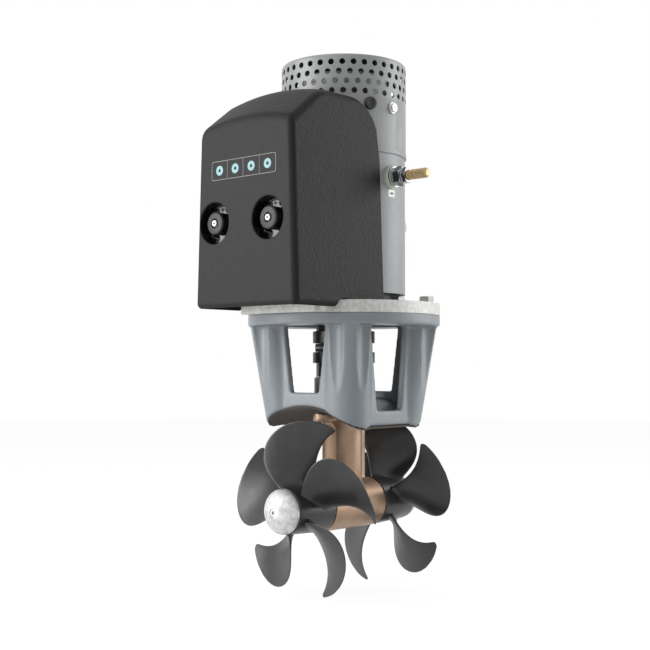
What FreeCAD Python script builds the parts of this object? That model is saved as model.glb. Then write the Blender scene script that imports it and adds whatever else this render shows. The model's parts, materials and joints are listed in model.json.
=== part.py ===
"""Electric bow thruster with twin propellers for a 185 mm tunnel.

Millimetres.  +Z is up along the motor and drive shaft, X lies along the propeller shaft and
the tunnel, and the origin is where the two shaft lines cross inside the gear leg.
"""
import FreeCAD
import Part

import math
import os

from FreeCAD import Vector

# ---------------------------------------------------------------- driving dimensions
tunnel_bore_radius = 92.5
tunnel_wall = 6.0
gasket_thickness = 1.2
fit_clearance = 0.05          # pushed-in parts that do not move
running_clearance = 0.06      # shafts in bearings
washer_play = 0.6             # washers and nuts over the propeller shaft
seal_gap = 0.7                # to a seal's lip, left out of the lip itself
face_gap = 0.6                # between a turning face and a fixed one

# gear leg
pod_radius = 24.4
pod_half_length = 38.0
pod_wall = 4.2
strut_radius = 18.4
fin_reach = 32.0
fin_root_thickness = 9.0
fin_tip_radius = 2.5
leg_flange_reach = 41.0
leg_flange_half_width = 27.0
leg_flange_thickness = 5.5
flare_height = 10.0
neck_radius = 19.0
neck_top = 121.0
leg_pad_offset = 29.5
leg_bolt_place = 25.5
leg_bolt_radius = 3.0
leg_bolt_head_radius = 5.0
leg_bolt_head = 6.0
leg_bolt_seat = 112.0
leg_bolt_end = 86.5

# bevel gears, pitch cones meeting at the origin
pinion_teeth = 12
crown_teeth = 24
gear_module = 1.375
gear_face_width = 6.0
pressure_angle = math.radians(25.0)
tooth_backlash = 0.16         # taken off each flank at the pitch circle
pinion_hub_radius = 8.0
pinion_hub_bottom = 17.8      # above the outer edge of the crown gear
pinion_hub_length = 6.4
crown_hub_radius = 12.0
crown_hub_end = 22.0

# shafts and bearings
prop_shaft_radius = 7.0
drive_shaft_radius = 6.0
drive_shaft_end_radius = 4.0  # inside the pinion
motor_shaft_radius = 8.0
prop_bearing_radius = 14.0
prop_bearing_width = 8.0
prop_bearing_place = 33.5     # outer face of the bearing from the middle of the pod
drive_bearing_radius = 13.0
drive_bearing_width = 9.0
motor_bearing_radius = 17.5
motor_bearing_width = 12.0

# propellers
propeller_radius = 87.0
blade_count = 5
hub_inner_radius = 24.2
hub_outer_radius = 22.2
hub_length = 48.6
hub_sides = 30
blade_root_thickness = 5.0
blade_tip_thickness = 1.4
blade_pitch = 200.0
blade_origin = -103.4          # where the blade's helix would meet angle 0
blade_steps = 5
blade_stations = (0.0, 0.25, 0.48, 0.69, 0.87, 0.985)
anode_radius = 21.6
anode_height = 15.0
anode_collar = 0.8
anode_bands = 5
anode_sides = 24
near_propeller_turn = 0.0
far_propeller_turn = 68.0
nut_recess_radius = 15.0
nut_recess_depth = 17.5

# bracket between the tunnel and the motor plate
ring_radius = 97.0
ring_bottom = 179.0
ring_thickness = 10.5
panel_reach = 59.5
panel_half_width = 38.0
panel_wall = 7.0
column_top_offset = 52.0
column_top_radius = 21.0
column_foot_offset = 38.2
column_foot_radius = 22.8
column_foot_height = 76.0
column_fillet = 7.0
scallop_radius = 11.0
scallop_depth_plane = 64.5
scallop_offset = 50.0
saddle_floor = 5.5
window_top_half_width = 25.0
window_foot_half_width = 17.0
window_corner = 4.0
end_window_sill = 113.0
side_window_sill = 95.3
boss_radius = 30.0
boss_top = 127.5

# adapter plate
plate_thickness = 12.0
plate_extension = 98.0
plate_extension_half_width = 52.0
plate_hole_radius = 38.0
plate_bolt_circle = 84.5
plate_bolt_radius = 4.0
plate_bolt_flats = 13.0
plate_bolt_head = 5.3
flush_head_radius = 6.5
flush_head = 6.0

# motor
yoke_radius = 62.2
yoke_wall = 4.5
yoke_gap = 9.0                # between the adapter plate and the lower edge of the yoke
yoke_length = 173.5
shield_foot_radius = 49.0
shield_foot_step = 8.5        # seat of the lower bearing above the adapter plate
shield_ear = 3.4
shield_ear_radius = 8.5
motor_bolt_circle = 55.0
shield_plug = 14.0
top_bearing_bottom = 418.0
vent_wall = 1.0
vent_bottom = 348.0
vent_lip_height = 4.4
vent_lip = 0.45
vent_top = 442.5
vent_hole_radius = 2.95
vent_holes_round = 36
vent_rows = 4
vent_row_pitch = 9.36
vent_first_row = 8.1          # below the top
vent_row_shift = -0.31        # of a hole pitch from row to row
vent_first_turn = 9.7
band_bolt_radius = 2.5
band_bolt_flats = 8.0
band_bolt_head = 3.6
band_bolt_height = 393.1
band_bolt_turn = 270.0
grommet_radius = 6.2
grommet_bore = 2.6
grommet_height = 394.4
grommet_turn = 245.0
armature_radius = 38.0
armature_bottom = 248.0
armature_length = 96.0
air_gap = 0.9
pole_span = 56.0
pole_screw_height = 280.4
pole_screw_radius = 4.0
pole_screw_head_radius = 5.6
pole_screw_head = 1.7
commutator_radius = 22.0
commutator_bottom = 384.0
commutator_length = 24.0
terminal_turns = (270.0, 180.0)
terminal_height = 324.6
terminal_radius = 5.0
terminal_shank_radius = 4.95   # under the nuts
terminal_free_start = 86.0     # from here outwards the cable is put on
terminal_reach = 107.0
insulator_radius = 11.6
terminal_stack = 21.8         # insulator, washers and nuts over the yoke
bus_bar_thickness = 2.0

# coupling
coupling_radius = 31.5
coupling_barrel_radius = 28.0
lower_disc_bottom = 142.0
lower_disc_thickness = 11.0
upper_disc_bottom = 162.0
upper_disc_thickness = 12.0
upper_barrel_top = 197.0
roller_radius = 4.2
roller_count = 4

# cover over the contactor
cover_front = 142.3
cover_half_width = 67.0
cover_rear = 18.0
cover_wall = 3.0
cover_skirt_bottom = 193.5
cover_skirt_length = 59.0
cover_front_top = 363.0
cover_roof_start = 100.0
cover_roof_height = 395.5
cover_crown = 7.5             # rise of the roof between its sides
cover_rear_round = 36.0
cover_edge_radius = 6.0
cover_bend_chords = 6
cover_crown_chords = 10
cover_side_gap = 0.7
knob_height = 274.5
knob_places = (("knob_left", 40.0), ("knob_right", -31.0))
knob_recess_radius = 19.7
knob_recess_depth = 13.0
knob_radius = 11.0
knob_bevel = 1.5
knob_sides = 24
knob_stud_radius = 3.0
contactor_length = 88.0
contactor_depth = 47.0
contactor_height = 58.0
control_box_bottom = 340.0
control_box_height = 30.0
rack_distance = 67.0
rack_sheet = 3.0
rack_height = 172.0
rack_half_width = 46.0

# ---------------------------------------------------------------- worked-out places
saddle_radius = tunnel_bore_radius + tunnel_wall
saddle_casting_radius = saddle_radius + gasket_thickness
plate_bottom = ring_bottom + ring_thickness
plate_top = plate_bottom + plate_thickness
yoke_bottom = plate_top + yoke_gap
yoke_top = yoke_bottom + yoke_length
yoke_bore = yoke_radius - yoke_wall
vent_radius = yoke_radius + fit_clearance + vent_wall
axis_x = Vector(1, 0, 0)
axis_y = Vector(0, 1, 0)
axis_z = Vector(0, 0, 1)
origin = Vector(0, 0, 0)
pieces = {}


# ---------------------------------------------------------------- small helpers
def keep(name, shape):
    pieces[name] = shape


def cylinder(radius, start, length, direction=axis_z):
    return Part.makeCylinder(radius, length, start, direction)


def upright(radius, bottom, top, x=0.0, y=0.0):
    return cylinder(radius, Vector(x, y, bottom), top - bottom)


def along_x(radius, start, end, y=0.0, z=0.0):
    return cylinder(radius, Vector(start, y, z), end - start, axis_x)


def block(x0, x1, y0, y1, z0, z1):
    return Part.makeBox(x1 - x0, y1 - y0, z1 - z0, Vector(x0, y0, z0))


def sides_of(radius):
    """Number of flats that keeps a round of this radius true to about a quarter of a millimetre."""
    for limit, sides in ((7.0, 8), (30.0, 16), (50.0, 24)):
        if radius < limit:
            return sides
    return 32


def prism(radius, start, length, direction=axis_z):
    """Many-sided stand-in for a round that nothing turns in, its corners on the radius."""
    sides = sides_of(radius)
    points = [on_circle(radius, 360.0 * i / sides) for i in range(sides)]
    solid = polygon_face(points).extrude(axis_z * length)
    solid.Placement = FreeCAD.Placement(start, FreeCAD.Rotation(axis_z, direction))
    return solid


def stake(radius, bottom, top, x=0.0, y=0.0):
    return prism(radius, Vector(x, y, bottom), top - bottom)


def bar(radius, start, end, y=0.0, z=0.0):
    return prism(radius, Vector(start, y, z), end - start, axis_x)


def tube(outer, inner, bottom, top):
    return stake(outer, bottom, top).cut(stake(inner, bottom - 1, top + 1))


def polygon_face(points):
    return Part.Face(Part.makePolygon(points + [points[0]]))


def hex_prism(flats, bottom, height, direction=axis_z):
    """Hexagonal prism standing on bottom, its axis along direction."""
    corner = flats / math.sqrt(3.0)
    points = []
    for i in range(6):
        turn = math.radians(60.0 * i)
        points.append(Vector(corner * math.cos(turn), corner * math.sin(turn), 0))
    solid = polygon_face(points).extrude(axis_z * height)
    solid.Placement = FreeCAD.Placement(bottom, FreeCAD.Rotation(axis_z, direction))
    return solid


def turned(shape, degrees, axis=axis_z, centre=origin):
    copy = shape.copy()
    copy.rotate(centre, axis, degrees)
    return copy


def ring_of(shape, count, first=0.0, axis=axis_z):
    return [turned(shape, first + 360.0 * i / count, axis) for i in range(count)]


def group(shapes):
    return Part.makeCompound(shapes)


def fuse(shapes):
    return shapes[0].multiFuse(shapes[1:]).removeSplitter()


def chords(start, middle, end, count):
    """Evenly spaced points of the arc through three points."""
    return Part.Arc(start, middle, end).toShape().discretize(count + 1)


def on_circle(radius, degrees, height=0.0):
    turn = math.radians(degrees)
    return Vector(radius * math.cos(turn), radius * math.sin(turn), height)


def spun(profile, sides):
    """Closed (radius, height) profile carried round Z in a number of flats."""
    faces = []
    for (low_r, low), (high_r, high) in zip(profile, profile[1:] + profile[:1]):
        for i in range(sides):
            first = 360.0 * i / sides
            last = 360.0 * (i + 1) / sides
            corners = [on_circle(low_r, first, low), on_circle(high_r, first, high)]
            if high_r > 0:
                corners.append(on_circle(high_r, last, high))
            if low_r > 0:
                corners.append(on_circle(low_r, last, low))
            if len(corners) > 2:
                faces.append(polygon_face(corners))
    solid = Part.makeSolid(Part.makeShell(faces)).removeSplitter()
    if solid.Volume < 0:
        solid.reverse()
    return solid


def between(low, high, flat):
    """Solid between two outlines with equal numbers of points; flat says its sides are flat."""
    faces = [polygon_face(low), polygon_face(high)]
    for i in range(len(low)):
        j = (i + 1) % len(low)
        if flat:
            faces.append(polygon_face([low[i], low[j], high[j], high[i]]))
        else:
            faces.append(polygon_face([low[i], low[j], high[j]]))
            faces.append(polygon_face([low[i], high[j], high[i]]))
    solid = Part.makeSolid(Part.makeShell(faces))
    if solid.Volume < 0:
        solid.reverse()
    return solid


def spun_x(profile, sides):
    """Closed (distance along X, radius) profile carried round X in a number of flats."""
    return turned(spun([(r, x) for x, r in profile], sides), 90, axis_y)


def bearing_ring(outer, inner, width):
    """Sealed bearing about Z from height 0, round where its shaft turns."""
    return stake(outer, 0, width).cut(upright(inner, -1, width + 1))


# ---------------------------------------------------------------- bevel gears
def spherical_involute(cone, base):
    roll = math.acos(min(1.0, math.cos(cone) / math.cos(base))) / math.sin(base)
    return roll - math.atan(math.tan(roll * math.sin(base)) / math.sin(base))


def bevel_teeth(teeth, pitch_cone, cone_distance):
    """Toothed cone about Z with its apex at the origin, between its small and large ends."""
    base = math.asin(math.cos(pressure_angle) * math.sin(pitch_cone))
    addendum = math.atan(gear_module / cone_distance)
    dedendum = math.atan(1.25 * gear_module / cone_distance)
    tip = pitch_cone + addendum
    root = pitch_cone - dedendum
    thin = tooth_backlash / (cone_distance * math.sin(pitch_cone))
    half_pitch = math.pi / teeth
    at_pitch = spherical_involute(pitch_cone, base)
    flank = []
    for share in (0.0, 0.5, 1.0):
        cone = max(root, base) + share * (tip - max(root, base))
        half = half_pitch / 2 - thin + at_pitch - spherical_involute(cone, base)
        flank.append((cone, half))
    low_half = flank[0][1]
    outline = [(root, -min(half_pitch * 0.8, low_half + 0.02))]
    outline += [(cone, -half) for cone, half in flank]
    outline += [(cone, half) for cone, half in reversed(flank)]
    outline += [(root, min(half_pitch * 0.8, low_half + 0.02))]

    def section(height):
        points = []
        for i in range(teeth):
            middle = 2 * half_pitch * i
            for cone, half in outline:
                radius = height * math.tan(cone)
                points.append(on_circle(radius, math.degrees(middle + half), height))
        return points

    small = (cone_distance - gear_face_width) * math.cos(tip) * 0.8
    large = cone_distance * math.cos(root) * 1.25
    return between(section(small), section(large), True)


def back_cone_body(pitch_cone, cone_distance, bore, teeth):
    """Blank that the teeth are cut to: between the two cones square to the pitch cone."""
    near = cone_distance - gear_face_width
    reach = 3 * gear_module
    normal_r = math.cos(pitch_cone)
    normal_z = -math.sin(pitch_cone)
    pitch_r = math.sin(pitch_cone)
    pitch_z = math.cos(pitch_cone)

    def place(distance, offset):
        return (distance * pitch_r + offset * normal_r, distance * pitch_z + offset * normal_z)

    outer_top = place(cone_distance, reach)
    inner_top = place(near, reach)
    inner_low = (bore, place(near, 0)[1] + (place(near, 0)[0] - bore) * math.tan(pitch_cone))
    outer_low = (bore, place(cone_distance, 0)[1]
                 + (place(cone_distance, 0)[0] - bore) * math.tan(pitch_cone))
    blank = spun([inner_low, inner_top, outer_top, outer_low], teeth)
    return turned(blank, 180.0 / teeth)


pinion_cone = math.atan(pinion_teeth / crown_teeth)
crown_cone = math.pi / 2 - pinion_cone
cone_distance = gear_module * crown_teeth / 2 / math.sin(crown_cone)


def make_gears():
    pinion = bevel_teeth(pinion_teeth, pinion_cone, cone_distance)
    pinion = pinion.common(back_cone_body(pinion_cone, cone_distance, 0.5, pinion_teeth))
    hub = stake(pinion_hub_radius, pinion_hub_bottom, pinion_hub_bottom + pinion_hub_length)
    pinion = fuse([pinion, hub])
    bore = stake(drive_shaft_end_radius + fit_clearance, 0,
                   pinion_hub_bottom + pinion_hub_length + 1)
    keep("pinion", turned(pinion, 180.0 / pinion_teeth).cut(bore))

    crown = bevel_teeth(crown_teeth, crown_cone, cone_distance)
    crown = crown.common(back_cone_body(crown_cone, cone_distance, 3.0, crown_teeth))
    heel = cone_distance * math.cos(crown_cone)
    rim = cone_distance * math.sin(crown_cone)
    web = spun([(prop_shaft_radius, heel - 1.0), (rim - 4.5, heel - 1.0),
                     (rim - 1.4, heel + 1.2), (rim - 1.4, heel + 6.5),
                     (crown_hub_radius, heel + 6.5), (crown_hub_radius, crown_hub_end),
                     (prop_shaft_radius, crown_hub_end)], crown_teeth)
    crown = fuse([crown, web])
    crown = crown.cut(upright(prop_shaft_radius + fit_clearance, -1, crown_hub_end + 1))
    crown = turned(crown, 90, axis_y)
    keep("crown_gear", crown)


# ---------------------------------------------------------------- gear leg
def strut_section(height):
    """Round strut with a thin fin fore and aft, as one closed face at a height."""
    half = fin_root_thickness / 2
    tip = fin_reach - fin_tip_radius
    fins = []
    for side in (1, -1):
        root = Vector(side * strut_radius * 0.8, half, height)
        root_low = Vector(side * strut_radius * 0.8, -half, height)
        end = Vector(side * tip, fin_tip_radius, height)
        end_low = Vector(side * tip, -fin_tip_radius, height)
        nose = Vector(side * fin_reach, 0, height)
        edges = [Part.LineSegment(root, end).toShape(), Part.Arc(end, nose, end_low).toShape(),
                 Part.LineSegment(end_low, root_low).toShape(),
                 Part.LineSegment(root_low, root).toShape()]
        fins.append(Part.Face(Part.Wire(edges)))
    return fins


def saddle_cylinder(radius, half_length=150.0):
    return along_x(radius, -half_length, half_length)


def make_leg():
    pod = along_x(pod_radius, -pod_half_length, pod_half_length)
    flange_top = tunnel_bore_radius
    flange_base = flange_top - leg_flange_thickness
    strut = upright(strut_radius, 0, flange_top)
    fins = [face.extrude(axis_z * (flange_top - 5)) for face in strut_section(5)]
    flare = Part.makeCone(strut_radius, strut_radius + flare_height, flare_height,
                          Vector(0, 0, flange_base - flare_height))
    end_pads = []
    for side in (1, -1):
        end_pads.append(stake(leg_flange_reach - leg_pad_offset, flange_base - 3.0,
                                flange_top, side * leg_pad_offset))
    disc = stake(leg_flange_half_width, flange_base - 3.0, flange_top + 5)
    top_trim = saddle_cylinder(tunnel_bore_radius)
    neck = stake(neck_radius, flange_base, neck_top)
    body = fuse([pod, strut] + fins + [flare, disc] + end_pads)
    body = fuse([body.common(top_trim), neck])

    shaft_bore = stake(drive_bearing_radius + fit_clearance, 0, neck_top + 1)
    gear_room = bar(pod_radius - pod_wall, -18.0, pod_half_length + 1)
    bearing_seat = bar(prop_bearing_radius + fit_clearance, -prop_bearing_place, 0)
    seal_seat = bar(prop_bearing_radius - 1.5, -pod_half_length - 1, 0)
    body = body.cut(fuse([shaft_bore, gear_room, bearing_seat, seal_seat]))
    holes = []
    for side in (1, -1):
        holes.append(stake(leg_bolt_radius + fit_clearance, leg_bolt_end - 0.5, flange_top + 1,
                             side * leg_bolt_place))
    keep("gear_leg", body.cut(group(holes)))

    cover = bar(pod_radius - pod_wall - fit_clearance, 24.0, pod_half_length - 0.8)
    cover = cover.cut(bar(prop_bearing_radius + fit_clearance, 23, prop_bearing_place))
    cover = cover.cut(bar(prop_bearing_radius - 1.5, 23, pod_half_length + 1))
    keep("bearing_cover", cover)


def make_leg_bearings():
    race = bearing_ring(prop_bearing_radius, prop_shaft_radius + running_clearance,
                        prop_bearing_width)
    right = turned(race, 90, axis_y)
    right.translate(axis_x * (prop_bearing_place - prop_bearing_width))
    left = turned(right, 180)
    keep("prop_bearings", group([left, right]))
    seals = []
    for side in (1, -1):
        start = side * prop_bearing_place
        end = side * (pod_half_length - 1.0)
        low = min(start, end)
        high = max(start, end)
        seal = bar(prop_bearing_radius - 1.5 - fit_clearance, low, high)
        seals.append(seal.cut(bar(prop_shaft_radius + seal_gap, low - 1, high + 1)))
    keep("prop_seals", group(seals))

    race = bearing_ring(drive_bearing_radius, drive_shaft_radius + running_clearance,
                        drive_bearing_width)
    solids = []
    for bottom in (26.0, 104.0):
        copy = race.copy()
        copy.translate(axis_z * bottom)
        solids.append(copy)
    keep("drive_bearings", group(solids))
    keep("drive_seal", tube(drive_bearing_radius, drive_shaft_radius + seal_gap,
                            104.0 + drive_bearing_width, neck_top - 1.0))


# ---------------------------------------------------------------- propellers
def blade_section(share, radius):
    """Two rows of points of one blade section, from leading to trailing edge, on a cylinder."""
    tip_angle = -1.84
    root_lead = -0.784
    lead = tip_angle + ((root_lead - tip_angle + 0.726 * share - 0.363 * share ** 2)
                        * (1 - share ** 1.19) ** 0.278)
    trail = -1.621 + 0.373 * share - 0.592 * share ** 2
    lift = blade_pitch / (2 * math.pi) * (1 + 0.275 * share - 0.39 * share ** 2)
    thick = blade_root_thickness + (blade_tip_thickness - blade_root_thickness) * share
    slope = math.hypot(lift, radius)
    rows = ([], [])
    for i in range(blade_steps + 1):
        along = (1 - math.cos(math.pi * i / blade_steps)) / 2
        angle = lead + (trail - lead) * along
        swell = thick / 2 * math.sqrt(max(0.0, 1 - (2 * along - 1) ** 2))
        for row, side in zip(rows, (1, -1)):
            turn = angle + side * swell * lift / slope / radius
            x = blade_origin - lift * angle + side * swell * radius / slope
            row.append(Vector(x, -radius * math.cos(turn), radius * math.sin(turn)))
    return rows[0] + rows[1][-2:0:-1]


def skin(loops):
    """Closed solid of triangles over loops with equal numbers of points, closed at both ends."""
    count = len(loops[0])
    triangles = []
    for low, high in zip(loops, loops[1:]):
        for i in range(count):
            j = (i + 1) % count
            triangles.append((low[i], low[j], high[j]))
            triangles.append((low[i], high[j], high[i]))
    for loop in (loops[0], loops[-1]):
        for i in range(count // 2):
            j = count - i
            if i > 0:
                triangles.append((loop[i], loop[i + 1], loop[j % count]))
            if j - 1 > i + 1:
                triangles.append((loop[i + 1], loop[(j - 1) % count], loop[j % count]))
    faces = [polygon_face(list(triangle)) for triangle in triangles]
    solid = Part.makeSolid(Part.makeShell(faces))
    if solid.Volume < 0:
        solid.reverse()
    return solid


def blade():
    root_radius = pod_radius - 1.4
    bury = 4.0
    loops = [blade_section(0.0, root_radius - bury)]
    for share in blade_stations:
        loops.append(blade_section(share, root_radius + (propeller_radius - root_radius) * share))
    return skin(loops)


def propeller_at_left():
    """Propeller on the -X end of the shaft."""
    inner = -(pod_half_length + face_gap)
    outer = inner - hub_length
    hub = spun_x([(inner, 0), (inner, hub_inner_radius), (outer, hub_outer_radius),
                  (outer, 0)], hub_sides)
    blades = ring_of(blade(), blade_count, math.degrees(2.9977), axis_x)
    body = fuse([hub] + blades)
    floor = outer + nut_recess_depth
    body = body.cut(bar(nut_recess_radius, outer - 1, floor))
    body = body.cut(along_x(prop_shaft_radius + fit_clearance, outer, inner + 1))
    return body, inner, outer, floor


def make_propellers():
    body, inner, outer, floor = propeller_at_left()
    pin_place = inner - 6.0
    pin_radius = 2.5
    pin_half = 13.0
    pin = prism(pin_radius, Vector(pin_place, 0, -pin_half), 2 * pin_half)
    slot = prism(pin_radius + fit_clearance, Vector(pin_place, 0, -pin_half - 0.1),
                    2 * pin_half + 0.2)
    slot = slot.fuse(block(pin_place, inner + 1, -pin_radius - fit_clearance,
                           pin_radius + fit_clearance, -pin_half - 0.1, pin_half + 0.1))
    body = body.cut(slot)
    washer = bar(13.0, floor - 2.0, floor).cut(
        bar(prop_shaft_radius + washer_play, floor - 3, floor + 1))
    nut = hex_prism(21.0, Vector(floor - 10.0, 0, 0), 8.0, axis_x)
    nut = nut.cut(bar(prop_shaft_radius + washer_play, floor - 11, floor))
    collar_face = outer - anode_collar
    apex = collar_face - anode_height
    shoulder = anode_radius * 0.19
    dome = Part.Arc(Vector(collar_face - 2.0, 0, anode_radius),
                    Vector(collar_face - anode_height * 0.74, 0, anode_radius * 0.66),
                    Vector(apex, 0, shoulder)).toShape()
    profile = [(point.x, point.z) for point in dome.discretize(anode_bands + 1)]
    profile += [(apex, 0), (outer, 0), (outer, anode_radius - 0.8),
                (collar_face, anode_radius - 0.8), (collar_face, anode_radius)]
    anode = spun_x(profile, anode_sides)
    screw_radius = 3.0
    head_seat = apex + 3.0
    anode = anode.cut(bar(screw_radius + fit_clearance, apex - 1, outer + 1))
    anode = anode.cut(bar(3.9 + fit_clearance, apex - 1, head_seat))
    screw_end = outer + nut_recess_depth * 0.55
    screw = fuse([bar(3.9, apex - 0.6, head_seat), bar(screw_radius, apex, screw_end)])
    screw = screw.cut(hex_prism(3.6, Vector(apex - 1.0, 0, 0), 2.8, axis_x))

    far = far_propeller_turn
    for name, shape in (("propeller", body), ("drive_pin", pin), ("prop_washer", washer),
                        ("prop_nut", nut), ("anode", anode), ("anode_screw", screw)):
        left = turned(shape, near_propeller_turn, axis_x)
        right = turned(turned(shape, 180), far, axis_x)
        if name in ("propeller", "anode"):
            keep(name + "_left", left)
            keep(name + "_right", right)
        else:
            keep(name + "s", group([left, right]))

    shaft_end = floor - 12.5
    shaft = along_x(prop_shaft_radius, shaft_end, -shaft_end)
    tapped = bar(screw_radius + fit_clearance, shaft_end - 1, screw_end + 1)
    tapped_right = turned(turned(tapped, 180), far, axis_x)
    pin_hole = prism(pin_radius + fit_clearance, Vector(pin_place, 0, -20), 40)
    far_hole = turned(turned(pin_hole, 180), far, axis_x)
    near_hole = turned(pin_hole, near_propeller_turn, axis_x)
    keep("prop_shaft", shaft.cut(group([tapped, tapped_right, near_hole, far_hole])))


# ---------------------------------------------------------------- bracket
def bracket_outline(offset, radius, height):
    """Closed outline of the bracket at a height: four panels and four round columns."""
    reach = panel_reach
    bend = column_fillet
    low = offset - math.sqrt((radius + bend) ** 2 - (reach + bend - offset) ** 2)
    centre = Vector(offset, offset, height)
    away = Vector(reach + bend - offset, low - offset, 0).normalize()
    meet = centre + away * radius
    bend_centre = Vector(reach + bend, low, height)
    half_way = (Vector(-1, 0, 0) - away).normalize()
    nose = Vector(1, 1, 0).normalize() * radius + centre
    panel_end = Vector(reach, low, height)

    def mirrored(point):
        return Vector(point.y, point.x, point.z)

    first = chords(panel_end, bend_centre + half_way * bend, meet, 2)
    lobe = chords(meet, nose, mirrored(meet), 6)
    last = chords(mirrored(meet), mirrored(bend_centre + half_way * bend),
                    mirrored(panel_end), 2)
    quarter = first[:-1] + lobe[:-1] + last
    points = []
    for turn in range(4):
        spin = FreeCAD.Rotation(axis_z, 90 * turn)
        points += [spin.multVec(point) for point in quarter]
    return points


def column_at(height):
    """Offset and radius of the leaning columns at a height."""
    share = (height - column_foot_height) / (ring_bottom - column_foot_height)
    offset = column_foot_offset + (column_top_offset - column_foot_offset) * share
    radius = column_foot_radius + (column_top_radius - column_foot_radius) * share
    return offset, radius


def window(sill):
    """Tapered window with rounded lower corners, cut through the wall at -X."""
    top = ring_bottom
    foot = window_foot_half_width
    slope = (window_top_half_width - foot) / (top - sill)
    x = -(panel_reach + 5)
    points = [Vector(x, -foot, sill), Vector(x, foot, sill),
              Vector(x, foot + slope * (top - sill), top),
              Vector(x, -foot - slope * (top - sill), top)]
    tool = polygon_face(points).extrude(axis_x * (panel_wall + 10))
    corners = [edge for edge in tool.Edges
               if abs(edge.BoundBox.ZMax - sill) < 0.01 and edge.BoundBox.XLength > 5]
    return tool.makeFillet(window_corner, corners)


def make_bracket():
    foot = column_foot_height
    walls = between(bracket_outline(*column_at(foot), foot),
                    bracket_outline(*column_at(ring_bottom), ring_bottom), False)
    scallops = []
    for turn in range(4):
        for side in (1, -1):
            tool = stake(scallop_radius, foot, ring_bottom + 1,
                           -(scallop_depth_plane + scallop_radius), side * scallop_offset)
            scallops.append(turned(tool, 90 * turn))
    walls = walls.cut(group(scallops))
    walls = walls.cut(saddle_cylinder(saddle_casting_radius))
    ring = upright(ring_radius, ring_bottom, plate_bottom)
    body = fuse([walls, ring])

    inner = panel_reach - panel_wall
    room = block(-inner, inner, -inner, inner, foot, plate_bottom + 1)
    room = room.common(stake(inner * 1.17, foot, plate_bottom + 1))
    room = room.cut(saddle_cylinder(saddle_casting_radius + saddle_floor))
    body = body.cut(room)
    end_window = window(end_window_sill)
    side_window = turned(window(side_window_sill), 90)
    body = body.cut(group([end_window, turned(end_window, 180), side_window,
                           turned(side_window, 180)]))
    boss = stake(boss_radius, saddle_casting_radius - 6, boss_top)
    boss = boss.cut(saddle_cylinder(saddle_casting_radius))
    body = fuse([body, boss])
    body = body.cut(stake(neck_radius + fit_clearance, 50, neck_top + 0.5))
    body = body.cut(stake(drive_shaft_radius + 2.0, neck_top, boss_top + 1))
    for side in (1, -1):
        spot = stake(leg_bolt_head_radius + 1.0, leg_bolt_seat, boss_top + 1,
                       side * leg_bolt_place)
        shank = stake(leg_bolt_radius + fit_clearance, 80, leg_bolt_seat + 1,
                        side * leg_bolt_place)
        body = body.cut(spot.fuse(shank))
    tapped = [stake(plate_bolt_radius + fit_clearance, ring_bottom - 12, plate_bottom + 1,
                      *on_circle(plate_bolt_circle, 45 + 90 * i)[0:2]) for i in range(4)]
    keep("bracket", body.cut(group(tapped)))


def make_gasket():
    """Curved seal between the bracket and the tunnel, with the bracket's own outline."""
    foot = column_foot_height
    sheet = polygon_face(bracket_outline(*column_at(foot), foot)).extrude(axis_z * 40)
    sheet = sheet.common(saddle_cylinder(saddle_casting_radius))
    sheet = sheet.cut(saddle_cylinder(saddle_radius))
    sheet = sheet.cut(stake(neck_radius + fit_clearance, 50, 120))
    for side in (1, -1):
        sheet = sheet.cut(stake(leg_bolt_radius + fit_clearance, 50, 120,
                                  side * leg_bolt_place))
    keep("saddle_gasket", sheet)


def socket_screw(radius, head_radius, head, length):
    """Socket head screw about Z: head above height 0, shank below."""
    body = stake(head_radius, 0, head).fuse(stake(radius, -length, 0))
    return body.cut(hex_prism(radius * 1.7, Vector(0, 0, head * 0.45), head))


def hex_screw(radius, flats, head, length):
    """Hexagon head screw about Z: head above height 0, shank below."""
    return hex_prism(flats, origin, head).fuse(stake(radius, -length, 0))


def make_leg_bolts():
    screw = socket_screw(leg_bolt_radius, leg_bolt_head_radius, leg_bolt_head,
                         leg_bolt_seat - leg_bolt_end)
    screw.translate(Vector(leg_bolt_place, 0, leg_bolt_seat))
    keep("leg_bolts", group([screw, turned(screw, 180)]))


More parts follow.
